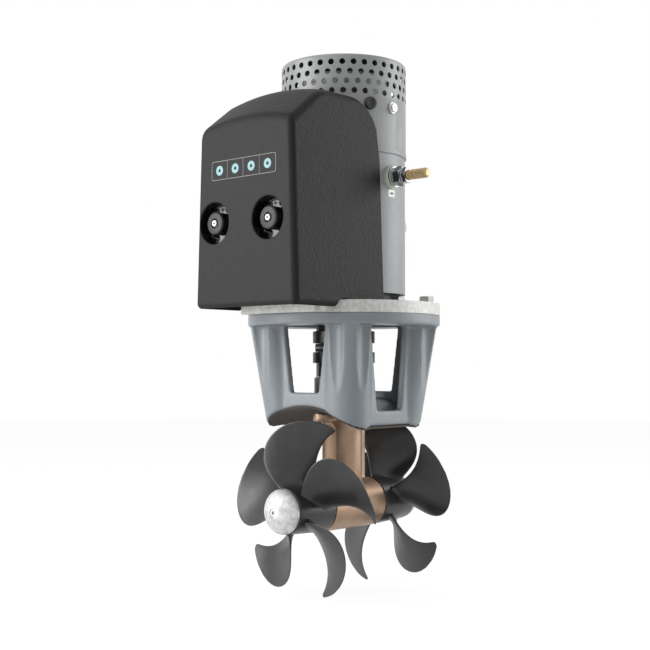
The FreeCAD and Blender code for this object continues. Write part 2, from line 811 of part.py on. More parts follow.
# ---------------------------------------------------------------- adapter plate
def make_plate():
    plate = upright(ring_radius, plate_bottom, plate_top)
    wing = block(-plate_extension, 0, -plate_extension_half_width, plate_extension_half_width,
                 plate_bottom, plate_top)
    corners = [edge for edge in wing.Edges
               if edge.BoundBox.ZLength > 1 and edge.BoundBox.XMax < 0 - plate_extension + 1]
    plate = fuse([plate, wing.makeFillet(6.0, corners)])
    plate = plate.cut(stake(plate_hole_radius, plate_bottom - 1, plate_top + 1))
    for i in range(4):
        spot = on_circle(plate_bolt_circle, 45 + 90 * i)
        plate = plate.cut(stake(plate_bolt_radius + fit_clearance, plate_bottom - 1,
                                  plate_top + 1, spot.x, spot.y))
        spot = on_circle(motor_bolt_circle, 45 + 90 * i)
        plate = plate.cut(stake(plate_bolt_radius + fit_clearance, plate_bottom + 2,
                                  plate_top + 1, spot.x, spot.y))
    for side in (1, -1):
        spot = on_circle(plate_bolt_circle, 180 + 45 * side)
        plate = plate.cut(stake(flush_head_radius + fit_clearance, plate_top - flush_head - 0.4,
                                  plate_top + 1, spot.x, spot.y))
    keep("adapter_plate", plate)

    screw = hex_screw(plate_bolt_radius, plate_bolt_flats, plate_bolt_head + 0.7,
                      plate_thickness + 10)
    screw.translate(Vector(plate_bolt_circle, 0, plate_top))
    flush = socket_screw(plate_bolt_radius, flush_head_radius, flush_head,
                         plate_thickness + 10 - flush_head)
    flush.translate(Vector(plate_bolt_circle, 0, plate_top - flush_head - 0.4))
    keep("plate_bolts", group([turned(screw, 45), turned(screw, -45), turned(flush, 135),
                               turned(flush, 225)]))
    screw = hex_screw(plate_bolt_radius, plate_bolt_flats, 4.8, plate_thickness)
    screw.translate(Vector(motor_bolt_circle, 0, plate_top + shield_ear))
    keep("motor_bolts", group(ring_of(screw, 4, 45)))


# ---------------------------------------------------------------- motor
def make_motor_case():
    seat = plate_top + shield_foot_step
    foot = stake(shield_foot_radius, plate_top, yoke_bottom)
    plug = stake(yoke_bore - fit_clearance, yoke_bottom, yoke_bottom + shield_plug)
    ear = stake(shield_ear_radius, plate_top, plate_top + shield_ear, motor_bolt_circle, 0)
    shield = fuse([foot, plug] + ring_of(ear, 4, 45))
    shield = shield.cut(stake(motor_shaft_radius + 2.0, plate_top - 1, yoke_bottom + 40))
    shield = shield.cut(stake(motor_bearing_radius + fit_clearance, seat, yoke_bottom + 40))
    hole = stake(plate_bolt_radius + fit_clearance, plate_top - 1, plate_top + shield_ear + 1,
                   motor_bolt_circle, 0)
    room = stake(plate_bolt_flats * 0.62, plate_top + shield_ear, yoke_bottom,
                   motor_bolt_circle, 0)
    shield = shield.cut(group(ring_of(hole, 4, 45)))
    keep("drive_end_shield", shield.cut(group(ring_of(room, 4, 45))))

    yoke = upright(yoke_radius, yoke_bottom, yoke_top)
    yoke = yoke.cut(stake(yoke_bore, yoke_bottom - 1, yoke_top + 1))
    for i in range(4):
        screw_way = prism(pole_screw_radius + fit_clearance,
                             Vector(yoke_bore - 3, 0, pole_screw_height), 10, axis_x)
        yoke = yoke.cut(turned(screw_way, 45 + 90 * i))
    for turn in terminal_turns:
        way = prism(insulator_radius * 0.7 + fit_clearance,
                       Vector(yoke_bore - 3, 0, terminal_height), 10, axis_x)
        yoke = yoke.cut(turned(way, turn))
    keep("motor_yoke", yoke)


def make_bearing_and_top_shield():
    race = bearing_ring(motor_bearing_radius, motor_shaft_radius + running_clearance,
                        motor_bearing_width)
    low = race.copy()
    low.translate(axis_z * (plate_top + shield_foot_step))
    high = race.copy()
    high.translate(axis_z * top_bearing_bottom)
    keep("motor_bearings", group([low, high]))

    rim_bottom = yoke_top - 8.0
    disc_bottom = top_bearing_bottom - 2.0
    disc_top = top_bearing_bottom + motor_bearing_width
    rim = tube(yoke_bore - fit_clearance, 47.0, rim_bottom, yoke_top)
    disc = stake(44.0, disc_bottom, disc_top)
    post = block(36.0, 44.0, -6.0, 6.0, yoke_top, disc_bottom + 2)
    arm = block(40.0, 54.0, -6.0, 6.0, yoke_top - 4, yoke_top + 6)
    shield = fuse([rim, disc] + ring_of(post, 4) + ring_of(arm, 4))
    shield = shield.cut(stake(motor_bearing_radius + fit_clearance, disc_bottom + 2,
                                disc_top + 1))
    keep("brush_end_shield", shield.cut(stake(motor_shaft_radius + 2, disc_bottom - 1,
                                                disc_top + 1)))


def vent_hole(depth_from, length):
    """Six-sided radial hole as wide as the round one it stands for."""
    corner = vent_hole_radius * 1.06
    points = []
    for i in range(6):
        turn = math.radians(60.0 * i)
        points.append(Vector(depth_from, corner * math.cos(turn), corner * math.sin(turn)))
    return polygon_face(points).extrude(axis_x * length)


def make_vent_cover():
    """Perforated sheet cup over the brush end of the motor."""
    bore = vent_radius - vent_wall
    corner = 1.0 / math.cos(math.pi / vent_holes_round)
    profile = [(bore, vent_bottom), (vent_radius + vent_lip, vent_bottom),
               (vent_radius + vent_lip, vent_bottom + vent_lip_height),
               (vent_radius, vent_bottom + vent_lip_height), (vent_radius, vent_top - 1.5),
               (vent_radius - 1.5, vent_top), (0, vent_top), (0, vent_top - vent_wall),
               (bore, vent_top - vent_wall)]
    cup = spun([(r * corner, z) for r, z in profile], vent_holes_round)
    holes = []
    pitch = 360.0 / vent_holes_round
    hole = vent_hole(bore - 2, vent_wall + 4)
    for row in range(vent_rows):
        height = vent_top - vent_first_row - vent_row_pitch * row
        for i in range(vent_holes_round):
            copy = turned(hole, pitch * (i + vent_row_shift * row) + vent_first_turn)
            copy.translate(axis_z * height)
            holes.append(copy)
    cup = cup.cut(group(holes))
    way = prism(band_bolt_radius + fit_clearance, Vector(bore - 4, 0, band_bolt_height), 10,
                   axis_x)
    cup = cup.cut(turned(way, band_bolt_turn))
    way = prism(grommet_radius * 0.6 + fit_clearance, Vector(bore - 2, 0, grommet_height), 6,
                   axis_x)
    keep("vent_cover", cup.cut(turned(way, grommet_turn)))

    outside = vent_radius * corner
    head = hex_prism(band_bolt_flats, Vector(outside, 0, band_bolt_height),
                     band_bolt_head, axis_x)
    shank = prism(band_bolt_radius, Vector(bore - 3, 0, band_bolt_height),
                     outside - bore + 3, axis_x)
    keep("band_bolt", turned(head.fuse(shank), band_bolt_turn))

    start = outside + 0.05
    collar = prism(grommet_radius, Vector(start, 0, grommet_height), 3.0, axis_x)
    stem = prism(grommet_radius * 0.6, Vector(bore - 1.5, 0, grommet_height), 4.5, axis_x)
    lump = collar.cut(upright(start, grommet_height - 20, grommet_height + 20)).fuse(stem)
    hole = prism(grommet_bore, Vector(bore - 5, 0, grommet_height), 12, axis_x)
    keep("lead_grommet", turned(lump.cut(hole), grommet_turn))


def make_field():
    """Four pole shoes with their coils, screwed to the yoke."""
    inner = armature_radius + air_gap
    shoe_outer = yoke_bore - fit_clearance
    middle = armature_bottom + armature_length / 2
    low = middle - pole_span
    high = middle + pole_span
    face = tube(inner + 4.5, inner, low + 8, high - 8)
    wedge = block(0, 60, -19, 19, low, high)
    tip = face.common(wedge)
    core = block(inner + 2, 70, -11, 11, low + 12, high - 12)
    core = core.common(stake(shoe_outer, low, high))
    core = core.cut(stake(inner + 1, low - 1, high + 1))
    shoe = fuse([tip, core])
    shoe = shoe.cut(prism(pole_screw_radius + fit_clearance,
                             Vector(inner + 6, 0, pole_screw_height), 30, axis_x))
    keep("pole_shoes", group(ring_of(shoe, 4, 45)))

    coil = block(inner + 6.0, 56, -19, 19, low + 4, high - 4)
    coil = coil.common(stake(shoe_outer - 0.5, low, high))
    coil = coil.cut(stake(inner + 5.0, low - 1, high + 1))
    coil = coil.cut(block(30, 70, -11.4, 11.4, low + 11.6, high - 11.6))
    keep("field_coils", group(ring_of(coil, 4, 45)))

    head = prism(pole_screw_head_radius, Vector(yoke_radius, 0, pole_screw_height),
                    pole_screw_head, axis_x)
    slot = block(yoke_radius + pole_screw_head / 2, yoke_radius + 3, -0.6, 0.6,
                 pole_screw_height - 8, pole_screw_height + 8)
    shank = prism(pole_screw_radius, Vector(inner + 7, 0, pole_screw_height),
                     yoke_radius - inner - 7, axis_x)
    keep("pole_screws", group(ring_of(shank.fuse(head.cut(slot)), 4, 45)))


def make_brush_gear():
    inner = commutator_radius + 0.3
    middle = commutator_bottom + commutator_length / 2
    plate = tube(yoke_bore - fit_clearance, 31.0, yoke_top - 12.0, yoke_top - 8.5)
    keep("brush_plate", plate)
    holder = block(commutator_radius + 2.5, 43.0, -10, 10, yoke_top - 8.5, middle + 8)
    brush_way = block(commutator_radius, 50.0, -8, 8, middle - 6, middle + 6)
    holder = holder.cut(brush_way)
    keep("brush_holders", group(ring_of(holder, 4, 45)))
    brush = block(inner - 2, 40.0, -7.8, 7.8, middle - 5.8, middle + 5.8)
    brush = brush.cut(upright(inner, middle - 10, middle + 10))
    keep("brushes", group(ring_of(brush, 4, 45)))


def make_armature():
    bottom = upper_disc_bottom + 2.0
    top = top_bearing_bottom + motor_bearing_width + 2
    shaft = upright(motor_shaft_radius, bottom, top)
    keep("motor_shaft", shaft)
    core = stake(armature_radius, armature_bottom, armature_bottom + armature_length)
    slot = block(armature_radius - 9, armature_radius + 2, -1.6, 1.6, armature_bottom - 1,
                 armature_bottom + armature_length + 1)
    core = core.cut(group(ring_of(slot, 15)))
    core = core.cut(upright(motor_shaft_radius + fit_clearance, armature_bottom - 1,
                            armature_bottom + armature_length + 1))
    keep("armature_core", core)
    top_winding = [(motor_shaft_radius + 4, 0), (armature_radius - 2, 0),
                   (armature_radius - 4, 12), (motor_shaft_radius + 12, 22),
                   (motor_shaft_radius + 4, 22)]
    up = [(r, armature_bottom + armature_length + h) for r, h in top_winding]
    down = [(r, armature_bottom - h * 0.8) for r, h in top_winding]
    keep("armature_windings", group([spun(up, 16), spun(down, 16)]))
    segments = upright(commutator_radius, commutator_bottom, commutator_bottom + commutator_length)
    keep("commutator", segments.cut(upright(motor_shaft_radius + fit_clearance,
                                            commutator_bottom - 1, top)))


def make_terminals():
    insulators = []
    studs = []
    nuts = []
    washers = []
    start = yoke_radius
    for turn in terminal_turns:
        z = terminal_height
        flange = prism(insulator_radius, Vector(start - 1.5, 0, z), 5.3, axis_x)
        flange = flange.cut(upright(start + 0.05, z - 20, z + 20))
        sleeve = prism(insulator_radius * 0.7, Vector(yoke_bore - 2.0, 0, z),
                          yoke_wall + 5.5, axis_x)
        insulator = flange.fuse(sleeve)
        insulator = insulator.cut(prism(terminal_radius + fit_clearance,
                                           Vector(start - 12, 0, z), 30, axis_x))
        insulators.append(turned(insulator, turn))
        face = start + 3.8
        shank = prism(terminal_shank_radius, Vector(yoke_bore - 6.0, 0, z),
                      terminal_free_start - (yoke_bore - 6.0), axis_x)
        stud = cylinder(terminal_radius, Vector(terminal_free_start, 0, z),
                        terminal_reach - 2.0 - terminal_free_start, axis_x)
        tip = Part.makeCone(terminal_radius, terminal_radius - 1.6, 2.0,
                            Vector(terminal_reach - 2.0, 0, z), axis_x)
        inner_head = prism(terminal_radius + 2.2, Vector(yoke_bore - 6.0, 0, z), 3.5, axis_x)
        studs.append(turned(stud.fuse([shank, tip, inner_head]), turn))
        bore = prism(terminal_radius + fit_clearance, Vector(face - 3, 0, z), 40, axis_x)
        first = prism(10.2, Vector(face, 0, z), 2.0, axis_x).cut(bore)
        second = prism(9.2, Vector(face + 2.0, 0, z), 2.2, axis_x).cut(bore)
        last = prism(8.2, Vector(face + 12.2, 0, z), 1.8, axis_x).cut(bore)
        thin = hex_prism(14.5, Vector(face + 14.0, 0, z), 4.0, axis_x).cut(bore)
        main = hex_prism(17.0, Vector(face + 4.2, 0, z), 8.0, axis_x).cut(bore)
        if turn == 180.0:
            outer_face = start + terminal_stack + bus_bar_thickness
            outer = hex_prism(17.0, Vector(outer_face, 0, z), 6.0, axis_x)
            round_bore = cylinder(terminal_radius + fit_clearance, Vector(face, 0, z), 40, axis_x)
            nuts.append(turned(outer.cut(round_bore), turn))
        washers += [turned(shape, turn) for shape in (first, second, last)]
        nuts += [turned(shape, turn) for shape in (main, thin)]
    keep("terminal_insulators", group(insulators))
    keep("terminal_studs", group(studs))
    keep("terminal_washers", group(washers))
    keep("terminal_nuts", group(nuts))


# ---------------------------------------------------------------- coupling and drive shaft
def ring_on_shaft(radius, shaft, bottom, top):
    """Many-sided ring with a round bore that sits on a shaft."""
    return stake(radius, bottom, top).cut(upright(shaft + fit_clearance, bottom - 1, top + 1))


def coupling_hub(disc_bottom, disc_top, barrel_bottom, barrel_top, bore):
    body = ring_on_shaft(coupling_radius, bore, disc_bottom, disc_top)
    barrel = ring_on_shaft(coupling_barrel_radius, bore, barrel_bottom, barrel_top)
    return fuse([body, barrel])


def make_coupling():
    lower_top = lower_disc_bottom + lower_disc_thickness
    upper_top = upper_disc_bottom + upper_disc_thickness
    lower = coupling_hub(lower_disc_bottom, lower_top, boss_top + face_gap + 0.4, lower_top,
                         drive_shaft_radius)
    upper = coupling_hub(upper_disc_bottom, upper_top, upper_disc_bottom, upper_barrel_top,
                         motor_shaft_radius)
    gap = upper_disc_bottom - lower_top
    middle = lower_top + gap / 2
    flexible = stake(20.0, lower_top, upper_disc_bottom)
    keep("coupling_element", flexible)
    roller = prism(roller_radius, Vector(20.0, 0, middle), 9.0, axis_x)
    roller = roller.cut(stake(20.0, middle - 20, middle + 20))
    keep("coupling_rollers", group(ring_of(roller, roller_count, 35.0)))
    keep("coupling_upper", upper)
    keep("coupling_lower", lower)
    shoulder = pinion_hub_bottom + pinion_hub_length
    thin_end = stake(drive_shaft_end_radius, shoulder - 11.0, shoulder)
    keep("drive_shaft", upright(drive_shaft_radius, shoulder, lower_top - 2.0).fuse(thin_end))


# ---------------------------------------------------------------- cover
def cover_block(inset):
    """Outer form of the cover for inset 0, and its hollow for a positive inset."""
    front = -cover_front + inset
    side = cover_half_width - inset
    crown = cover_crown
    roof = cover_roof_height + crown - inset
    low = cover_skirt_bottom - (1.0 if inset else 0.0)
    front_top = cover_front_top + crown - inset * 0.9
    slope_end = -cover_roof_start + inset * 0.35
    rear = -cover_rear + (1.0 if inset else 0.0)
    bend = cover_rear_round - inset
    start = Vector(rear - bend, 0, roof)
    middle = Vector(rear - bend * (1 - math.sin(math.pi / 4)), 0,
                    roof - bend * 1.3 * (1 - math.cos(math.pi / 4)))
    end = Vector(rear, 0, roof - bend * 1.3)
    corners = [Vector(front, 0, low), Vector(front, 0, front_top), Vector(slope_end, 0, roof),
               start]
    bend_points = chords(start, middle, end, cover_bend_chords)
    face = polygon_face(corners[:3] + bend_points + [Vector(rear, 0, low)])
    face.translate(axis_y * -side)
    body = face.extrude(axis_y * (2 * side))
    upright_edges = [edge for edge in body.Edges
                     if edge.BoundBox.XMax < front + 0.01 and edge.BoundBox.ZLength > 50]
    body = body.makeFillet(max(1.0, cover_edge_radius - inset), upright_edges)
    if inset:
        return body.common(crown_prism(inset))
    return body.common(crown_prism(0.0))


def crown_prism(inset):
    """Prism whose upper side is the gentle arch of the roof, sloping down to the front."""
    front = -cover_front + inset
    slope_end = -cover_roof_start + inset * 0.35
    side = cover_half_width + 5.0
    drop = cover_crown * (side / cover_half_width) ** 2

    def arch(x, top, low):
        left = Vector(x, -side, top - drop)
        right = Vector(x, side, top - drop)
        curve = chords(left, Vector(x, 0, top), right, cover_crown_chords)
        return polygon_face(curve + [Vector(x, side, low), Vector(x, -side, low)])

    roof = cover_roof_height + cover_crown - inset
    front_top = cover_front_top + cover_crown - inset * 0.9
    back = arch(slope_end, roof, 100.0).extrude(axis_x * (slope_end * -1))
    ahead = front - slope_end
    slant = arch(slope_end, roof, 60.0).extrude(Vector(ahead, 0, front_top - roof))
    return back.fuse(slant)


def make_cover():
    shell = cover_block(0.0)
    roof_edges = []
    for edge in shell.Edges:
        box = edge.BoundBox
        high = box.ZMin > cover_front_top - 12
        on_side = abs(abs(box.YMin) - cover_half_width) < 0.5 and box.YLength < 0.5
        if high and on_side and box.XLength > 20:
            roof_edges.append(edge)
    if roof_edges:
        shell = shell.makeFillet(cover_edge_radius * 0.6, roof_edges)
    shell = shell.cut(cover_block(cover_wall))
    skirt_end = -cover_front + cover_skirt_length
    shell = shell.cut(block(skirt_end, 10, -90, 90, cover_skirt_bottom - 5,
                            plate_top + cover_side_gap))
    pockets = []
    mouths = []
    for name, side in knob_places:
        depth = knob_recess_depth
        pockets.append(bar(knob_recess_radius + cover_wall, -cover_front + 0.5,
                               -cover_front + depth + cover_wall, side, knob_height))
        mouths.append(bar(knob_recess_radius, -cover_front - 1, -cover_front + depth, side,
                              knob_height))
        mouths.append(bar(knob_stud_radius + 1.0, -cover_front, -cover_front + depth + 5,
                              side, knob_height))
    inside = cover_block(0.5)
    shell = fuse([shell] + [pocket.common(inside) for pocket in pockets])
    shell = shell.cut(group(mouths))
    motor_way = upright(vent_radius + vent_lip + 0.8, 100, 500)
    shell = shell.cut(motor_way)
    lead_way = prism(grommet_radius + 0.8, Vector(vent_radius - 8, 0, grommet_height), 14,
                        axis_x)
    shell = shell.cut(turned(lead_way, grommet_turn))
    keep("cover", shell)


def make_knobs():
    for name, side in knob_places:
        face = -cover_front + 1.0
        back = -cover_front + knob_recess_depth - face_gap
        body = spun_x([(back, 0), (back, knob_radius), (face + knob_bevel, knob_radius),
                       (face, knob_radius - knob_bevel), (face, 0)], knob_sides)
        body.translate(Vector(0, side, knob_height))
        grips = []
        for i in range(6):
            spot = on_circle(knob_radius + 1.6, 60.0 * i)
            grips.append(bar(3.2, face + 3.0, back + 1, side + spot.x,
                                 knob_height + spot.y))
        body = body.cut(group(grips))
        bore = along_x(knob_stud_radius + running_clearance, face - 1, back + 1, side,
                       knob_height)
        keep(name, body.cut(bore))


def make_rack():
    """Sheet rack before the motor that carries the contactor, control box and cover studs."""
    sheet = block(-rack_distance - rack_sheet, -rack_distance, -rack_half_width,
                  rack_half_width, plate_top, plate_top + rack_height)
    foot = block(-rack_distance - 16.0, -rack_distance, -rack_half_width, rack_half_width,
                 plate_top, plate_top + rack_sheet)
    rack = fuse([sheet, foot])
    rack = rack.cut(prism(insulator_radius + 2.0, Vector(-90, 0, terminal_height), 40,
                             axis_x))
    for name, side in knob_places:
        rack = rack.cut(bar(knob_stud_radius + fit_clearance, -90, -50, side, knob_height))
    keep("electronics_rack", rack)
    studs = []
    for name, side in knob_places:
        tip = -cover_front + 0.2
        stud = along_x(knob_stud_radius, tip, -rack_distance - rack_sheet, side, knob_height)
        tail = bar(knob_stud_radius, -rack_distance - rack_sheet, -rack_distance, side,
                       knob_height)
        nut = hex_prism(9.0, Vector(-rack_distance - rack_sheet - 5.0, side, knob_height), 5.0,
                        axis_x)
        socket = hex_prism(2.6, Vector(tip - 1.0, side, knob_height), 4.0, axis_x)
        studs.append(stud.fuse([nut, tail]).cut(socket))
    keep("cover_studs", group(studs))

    face = -rack_distance - rack_sheet
    base = plate_top + rack_sheet
    body = block(face - contactor_depth, face, -contactor_length / 2, contactor_length / 2,
                 base, base + contactor_height * 0.45)
    body = body.makeChamfer(2.0, [edge for edge in body.Edges if edge.BoundBox.ZLength > 5])
    coils = []
    for side in (-1, 1):
        coils.append(stake(19.0, base + contactor_height * 0.4, base + contactor_height,
                             face - 22.0, side * 22.5))
    keep("contactor", fuse([body] + coils))
    posts = []
    for side in (-1.5, -0.5, 0.5, 1.5):
        post = stake(4.0, base + contactor_height * 0.45,
                       base + contactor_height * 0.45 + 14.0, face - 43.0 + 0.5, side * 22.0)
        posts.append(post)
    keep("contactor_studs", group(posts))
    box = block(face - 40.0, face, -40.0, 40.0, control_box_bottom,
                control_box_bottom + control_box_height)
    box = box.makeChamfer(2.0, [edge for edge in box.Edges if edge.BoundBox.XLength > 5])
    keep("control_box", box)
    bar_face = -(yoke_radius + terminal_stack)
    top = base + contactor_height
    strap = block(bar_face - bus_bar_thickness, bar_face, -8.0, 8.0, top, terminal_height + 9.0)
    tab = block(bar_face - 18.0, bar_face, -8.0, 8.0, top, top + bus_bar_thickness)
    strap = fuse([strap, tab])
    keep("bus_bar", strap.cut(cylinder(terminal_radius + fit_clearance,
                                       Vector(bar_face - 10, 0, terminal_height), 20, axis_x)))


make_gears()
make_leg()
make_leg_bearings()
make_propellers()
make_bracket()
make_gasket()
make_leg_bolts()
make_plate()
make_motor_case()
make_bearing_and_top_shield()
make_vent_cover()
make_field()
make_brush_gear()
make_armature()
make_terminals()
make_coupling()
make_cover()
make_knobs()
make_rack()

os.makedirs("parts", exist_ok=True)
for name, shape in pieces.items():
    shape.exportStep("parts/" + name + ".step")
    box = shape.BoundBox
    print("%-20s solids %2d valid %s vol %9.1f  x %6.1f %6.1f y %6.1f %6.1f z %6.1f %6.1f"
          % (name, len(shape.Solids), shape.isValid(), shape.Volume, box.XMin, box.XMax,
             box.YMin, box.YMax, box.ZMin, box.ZMax))
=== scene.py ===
import bpy
import bmesh
import json
import math
from mathutils import Matrix, Vector

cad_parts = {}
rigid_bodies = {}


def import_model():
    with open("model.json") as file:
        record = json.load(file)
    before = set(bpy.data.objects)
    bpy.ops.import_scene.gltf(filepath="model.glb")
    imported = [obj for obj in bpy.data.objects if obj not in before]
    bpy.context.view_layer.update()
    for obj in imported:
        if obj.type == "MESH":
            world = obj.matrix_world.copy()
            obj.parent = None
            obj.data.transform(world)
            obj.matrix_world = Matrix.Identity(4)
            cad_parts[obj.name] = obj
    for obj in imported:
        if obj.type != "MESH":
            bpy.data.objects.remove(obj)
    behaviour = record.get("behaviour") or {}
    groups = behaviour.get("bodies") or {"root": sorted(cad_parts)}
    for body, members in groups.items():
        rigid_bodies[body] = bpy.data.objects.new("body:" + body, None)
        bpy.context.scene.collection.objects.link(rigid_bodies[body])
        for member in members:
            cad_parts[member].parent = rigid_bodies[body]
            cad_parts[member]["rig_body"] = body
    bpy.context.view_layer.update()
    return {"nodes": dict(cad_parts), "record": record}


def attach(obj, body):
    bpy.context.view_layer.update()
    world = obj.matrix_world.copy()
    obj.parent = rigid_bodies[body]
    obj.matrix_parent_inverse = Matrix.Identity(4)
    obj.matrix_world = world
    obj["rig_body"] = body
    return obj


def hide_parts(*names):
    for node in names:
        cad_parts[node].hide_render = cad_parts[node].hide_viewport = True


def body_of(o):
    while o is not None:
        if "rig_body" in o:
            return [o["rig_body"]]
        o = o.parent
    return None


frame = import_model()
nodes = frame["nodes"]
mm = 0.001
print("frame loaded with", len(nodes), "nodes")


# shader maths: a wrapped socket, so masks and colours are written as expressions
class Wire:
    def __init__(self, net, socket):
        self.net = net
        self.socket = socket

    def calc(self, operation, first, second):
        return self.net.node("ShaderNodeMath", {"operation": operation}, {0: first, 1: second})

    def __add__(self, other):
        return self.calc("ADD", self, other)

    def __sub__(self, other):
        return self.calc("SUBTRACT", self, other)

    def __rsub__(self, other):
        return self.calc("SUBTRACT", other, self)

    def __mul__(self, other):
        return self.calc("MULTIPLY", self, other)

    __radd__ = __add__
    __rmul__ = __mul__

    def over(self, low, high):
        # 0 below low, 1 above high
        return self.net.node("ShaderNodeMapRange", {"interpolation_type": "SMOOTHSTEP"},
                             {"Value": self, "From Min": low, "From Max": high})

    def also(self, name):
        # another output of the same node
        return Wire(self.net, self.socket.node.outputs[name])


class Net:
    def __init__(self, owner):
        # the owner is a material or a world
        self.owner = owner
        owner.use_nodes = True
        self.tree = owner.node_tree
        self.tree.nodes.clear()
        self.across = -600

    def node(self, kind, settings=None, values=None, out=0):
        made = self.tree.nodes.new(kind)
        made.location = (self.across, -120 * (len(self.tree.nodes) % 7))
        self.across += 40
        for key, value in (settings or {}).items():
            setattr(made, key, value)
        for key, value in (values or {}).items():
            socket = made.inputs[key]
            if isinstance(value, Wire):
                self.tree.links.new(value.socket, socket)
            elif socket.type == "RGBA":
                socket.default_value = (*value, 1)
            else:
                socket.default_value = value
        return Wire(self, made.outputs[out] if len(made.outputs) else None)

    def place(self, stretch=None):
        # where on the object, in metres
        where = self.node("ShaderNodeTexCoord", out="Object")
        if stretch:
            where = self.node("ShaderNodeMapping", {}, {"Vector": where, "Scale": stretch})
        return where

    def along(self, axis):
        return self.node("ShaderNodeSeparateXYZ", {}, {"Vector": self.place()}, axis)

    def noise(self, scale, detail=3.0, rough=0.5, stretch=None):
        return self.node("ShaderNodeTexNoise", {}, {"Vector": self.place(stretch), "Scale": scale,
                                                    "Detail": detail, "Roughness": rough})

    def cells(self, scale):
        return self.node("ShaderNodeTexVoronoi", {"feature": "SMOOTH_F1"},
                         {"Vector": self.place(), "Scale": scale})

    def blend(self, share, low, high):
        return self.node("ShaderNodeMix", {"data_type": "RGBA"},
                         {0: share, 6: colourOf(low), 7: colourOf(high)}, 2)

    def bump(self, height, depth, strength, after=None):
        values = {"Height": height, "Distance": depth, "Strength": strength}
        if after:
            values["Normal"] = after
        return self.node("ShaderNodeBump", {}, values)

    def finish(self, **sockets):
        values = {key.replace("_", " "): value for key, value in sockets.items()}
        shader = self.node("ShaderNodeBsdfPrincipled", {}, values)
        self.node("ShaderNodeOutputMaterial", {}, {"Surface": shader})
        return self.owner


def newFinish(name):
    return Net(bpy.data.materials.new(name))


def colourOf(value):
    # a hexadecimal colour in the renderer's own linear values
    if isinstance(value, str):
        parts = [int(value[i:i + 2], 16) / 255 for i in (0, 2, 4)]
        return tuple(c / 12.92 if c < 0.04045 else ((c + 0.055) / 1.055) ** 2.4 for c in parts)
    return value


# finishes
def paintedSheet(name, light, dark, gloss, grainDepth):
    net = newFinish(name)
    cloud = net.noise(18.0, 4.0, 0.6).over(0.35, 0.65)
    dust = net.noise(1400.0, 2.0, 0.6)
    return net.finish(Base_Color=net.blend(cloud, dark, light),
                      Roughness=net.noise(60.0) * 0.12 + gloss,
                      Normal=net.bump(dust, grainDepth, 0.5))


def castPaint(name, light, dark, gloss):
    # satin paint over a sand casting: soft waves and fine pitting under it
    net = newFinish(name)
    waves = net.noise(55.0, 3.0, 0.55)
    pits = net.noise(900.0, 3.0, 0.7)
    normal = net.bump(pits, 0.00022, 0.5, net.bump(waves, 0.0012, 0.35))
    return net.finish(Base_Color=net.blend(net.noise(9.0, 4.0).over(0.35, 0.65), dark, light),
                      Roughness=net.noise(120.0) * 0.16 + gloss, Normal=normal)


def plainPlastic(name, colour, gloss, depth=0.00005):
    net = newFinish(name)
    wear = net.noise(40.0, 4.0, 0.6).over(0.4, 0.62)
    lighter = tuple(min(1.0, c * 1.25 + 0.004) for c in colourOf(colour))
    return net.finish(Base_Color=net.blend(wear, colour, lighter), Roughness=wear * 0.08 + gloss,
                      Normal=net.bump(net.noise(700.0, 2.0), depth, 0.5))


def machined(name, light, dark, gloss, stretch, metal=1.0):
    # turning or milling lines, drawn out along one direction
    net = newFinish(name)
    lines = net.noise(260.0, 3.0, 0.65, stretch)
    return net.finish(Base_Color=net.blend(lines.over(0.35, 0.68), dark, light),
                      Roughness=net.noise(90.0) * 0.18 + gloss, Metallic=metal,
                      Normal=net.bump(lines, 0.00008, 0.5))


def castMetal(name, light, dark, gloss, scale, depth, metal=1.0):
    net = newFinish(name)
    blotch = net.noise(scale, 5.0, 0.62)
    grain = net.noise(scale * 14, 3.0, 0.6)
    return net.finish(Base_Color=net.blend(blotch.over(0.38, 0.62), dark, light),
                      Roughness=blotch * 0.2 + gloss, Metallic=metal,
                      Normal=net.bump(grain, depth, 0.6))


def coverGrainAndShade(name, front, side, gloss):
    # leather grain on the sides and roof, a finer grain on the flat front; the front is painted paler and
    # the sides and roof darker, painted light and painted shade on one plastic
    net = newFinish(name)
    # front mask: the finer grain of the front, and the paler front colour that is painted light
    face = 1 - net.along("X").over(-0.1419, -0.1385)
    bumps = net.cells(430.0)
    ripple = net.noise(230.0, 2.0, 0.55)
    fine = net.noise(1500.0, 2.0, 0.6)
    height = ((1 - bumps) * 0.75 + ripple * 0.5) * (1 - face * 0.85) + fine * 0.12
    return net.finish(Base_Color=net.blend(face, side, front), Roughness=ripple * 0.12 + gloss,
                      Specular_IOR_Level=0.16, Normal=net.bump(height, 0.0005, 0.7))


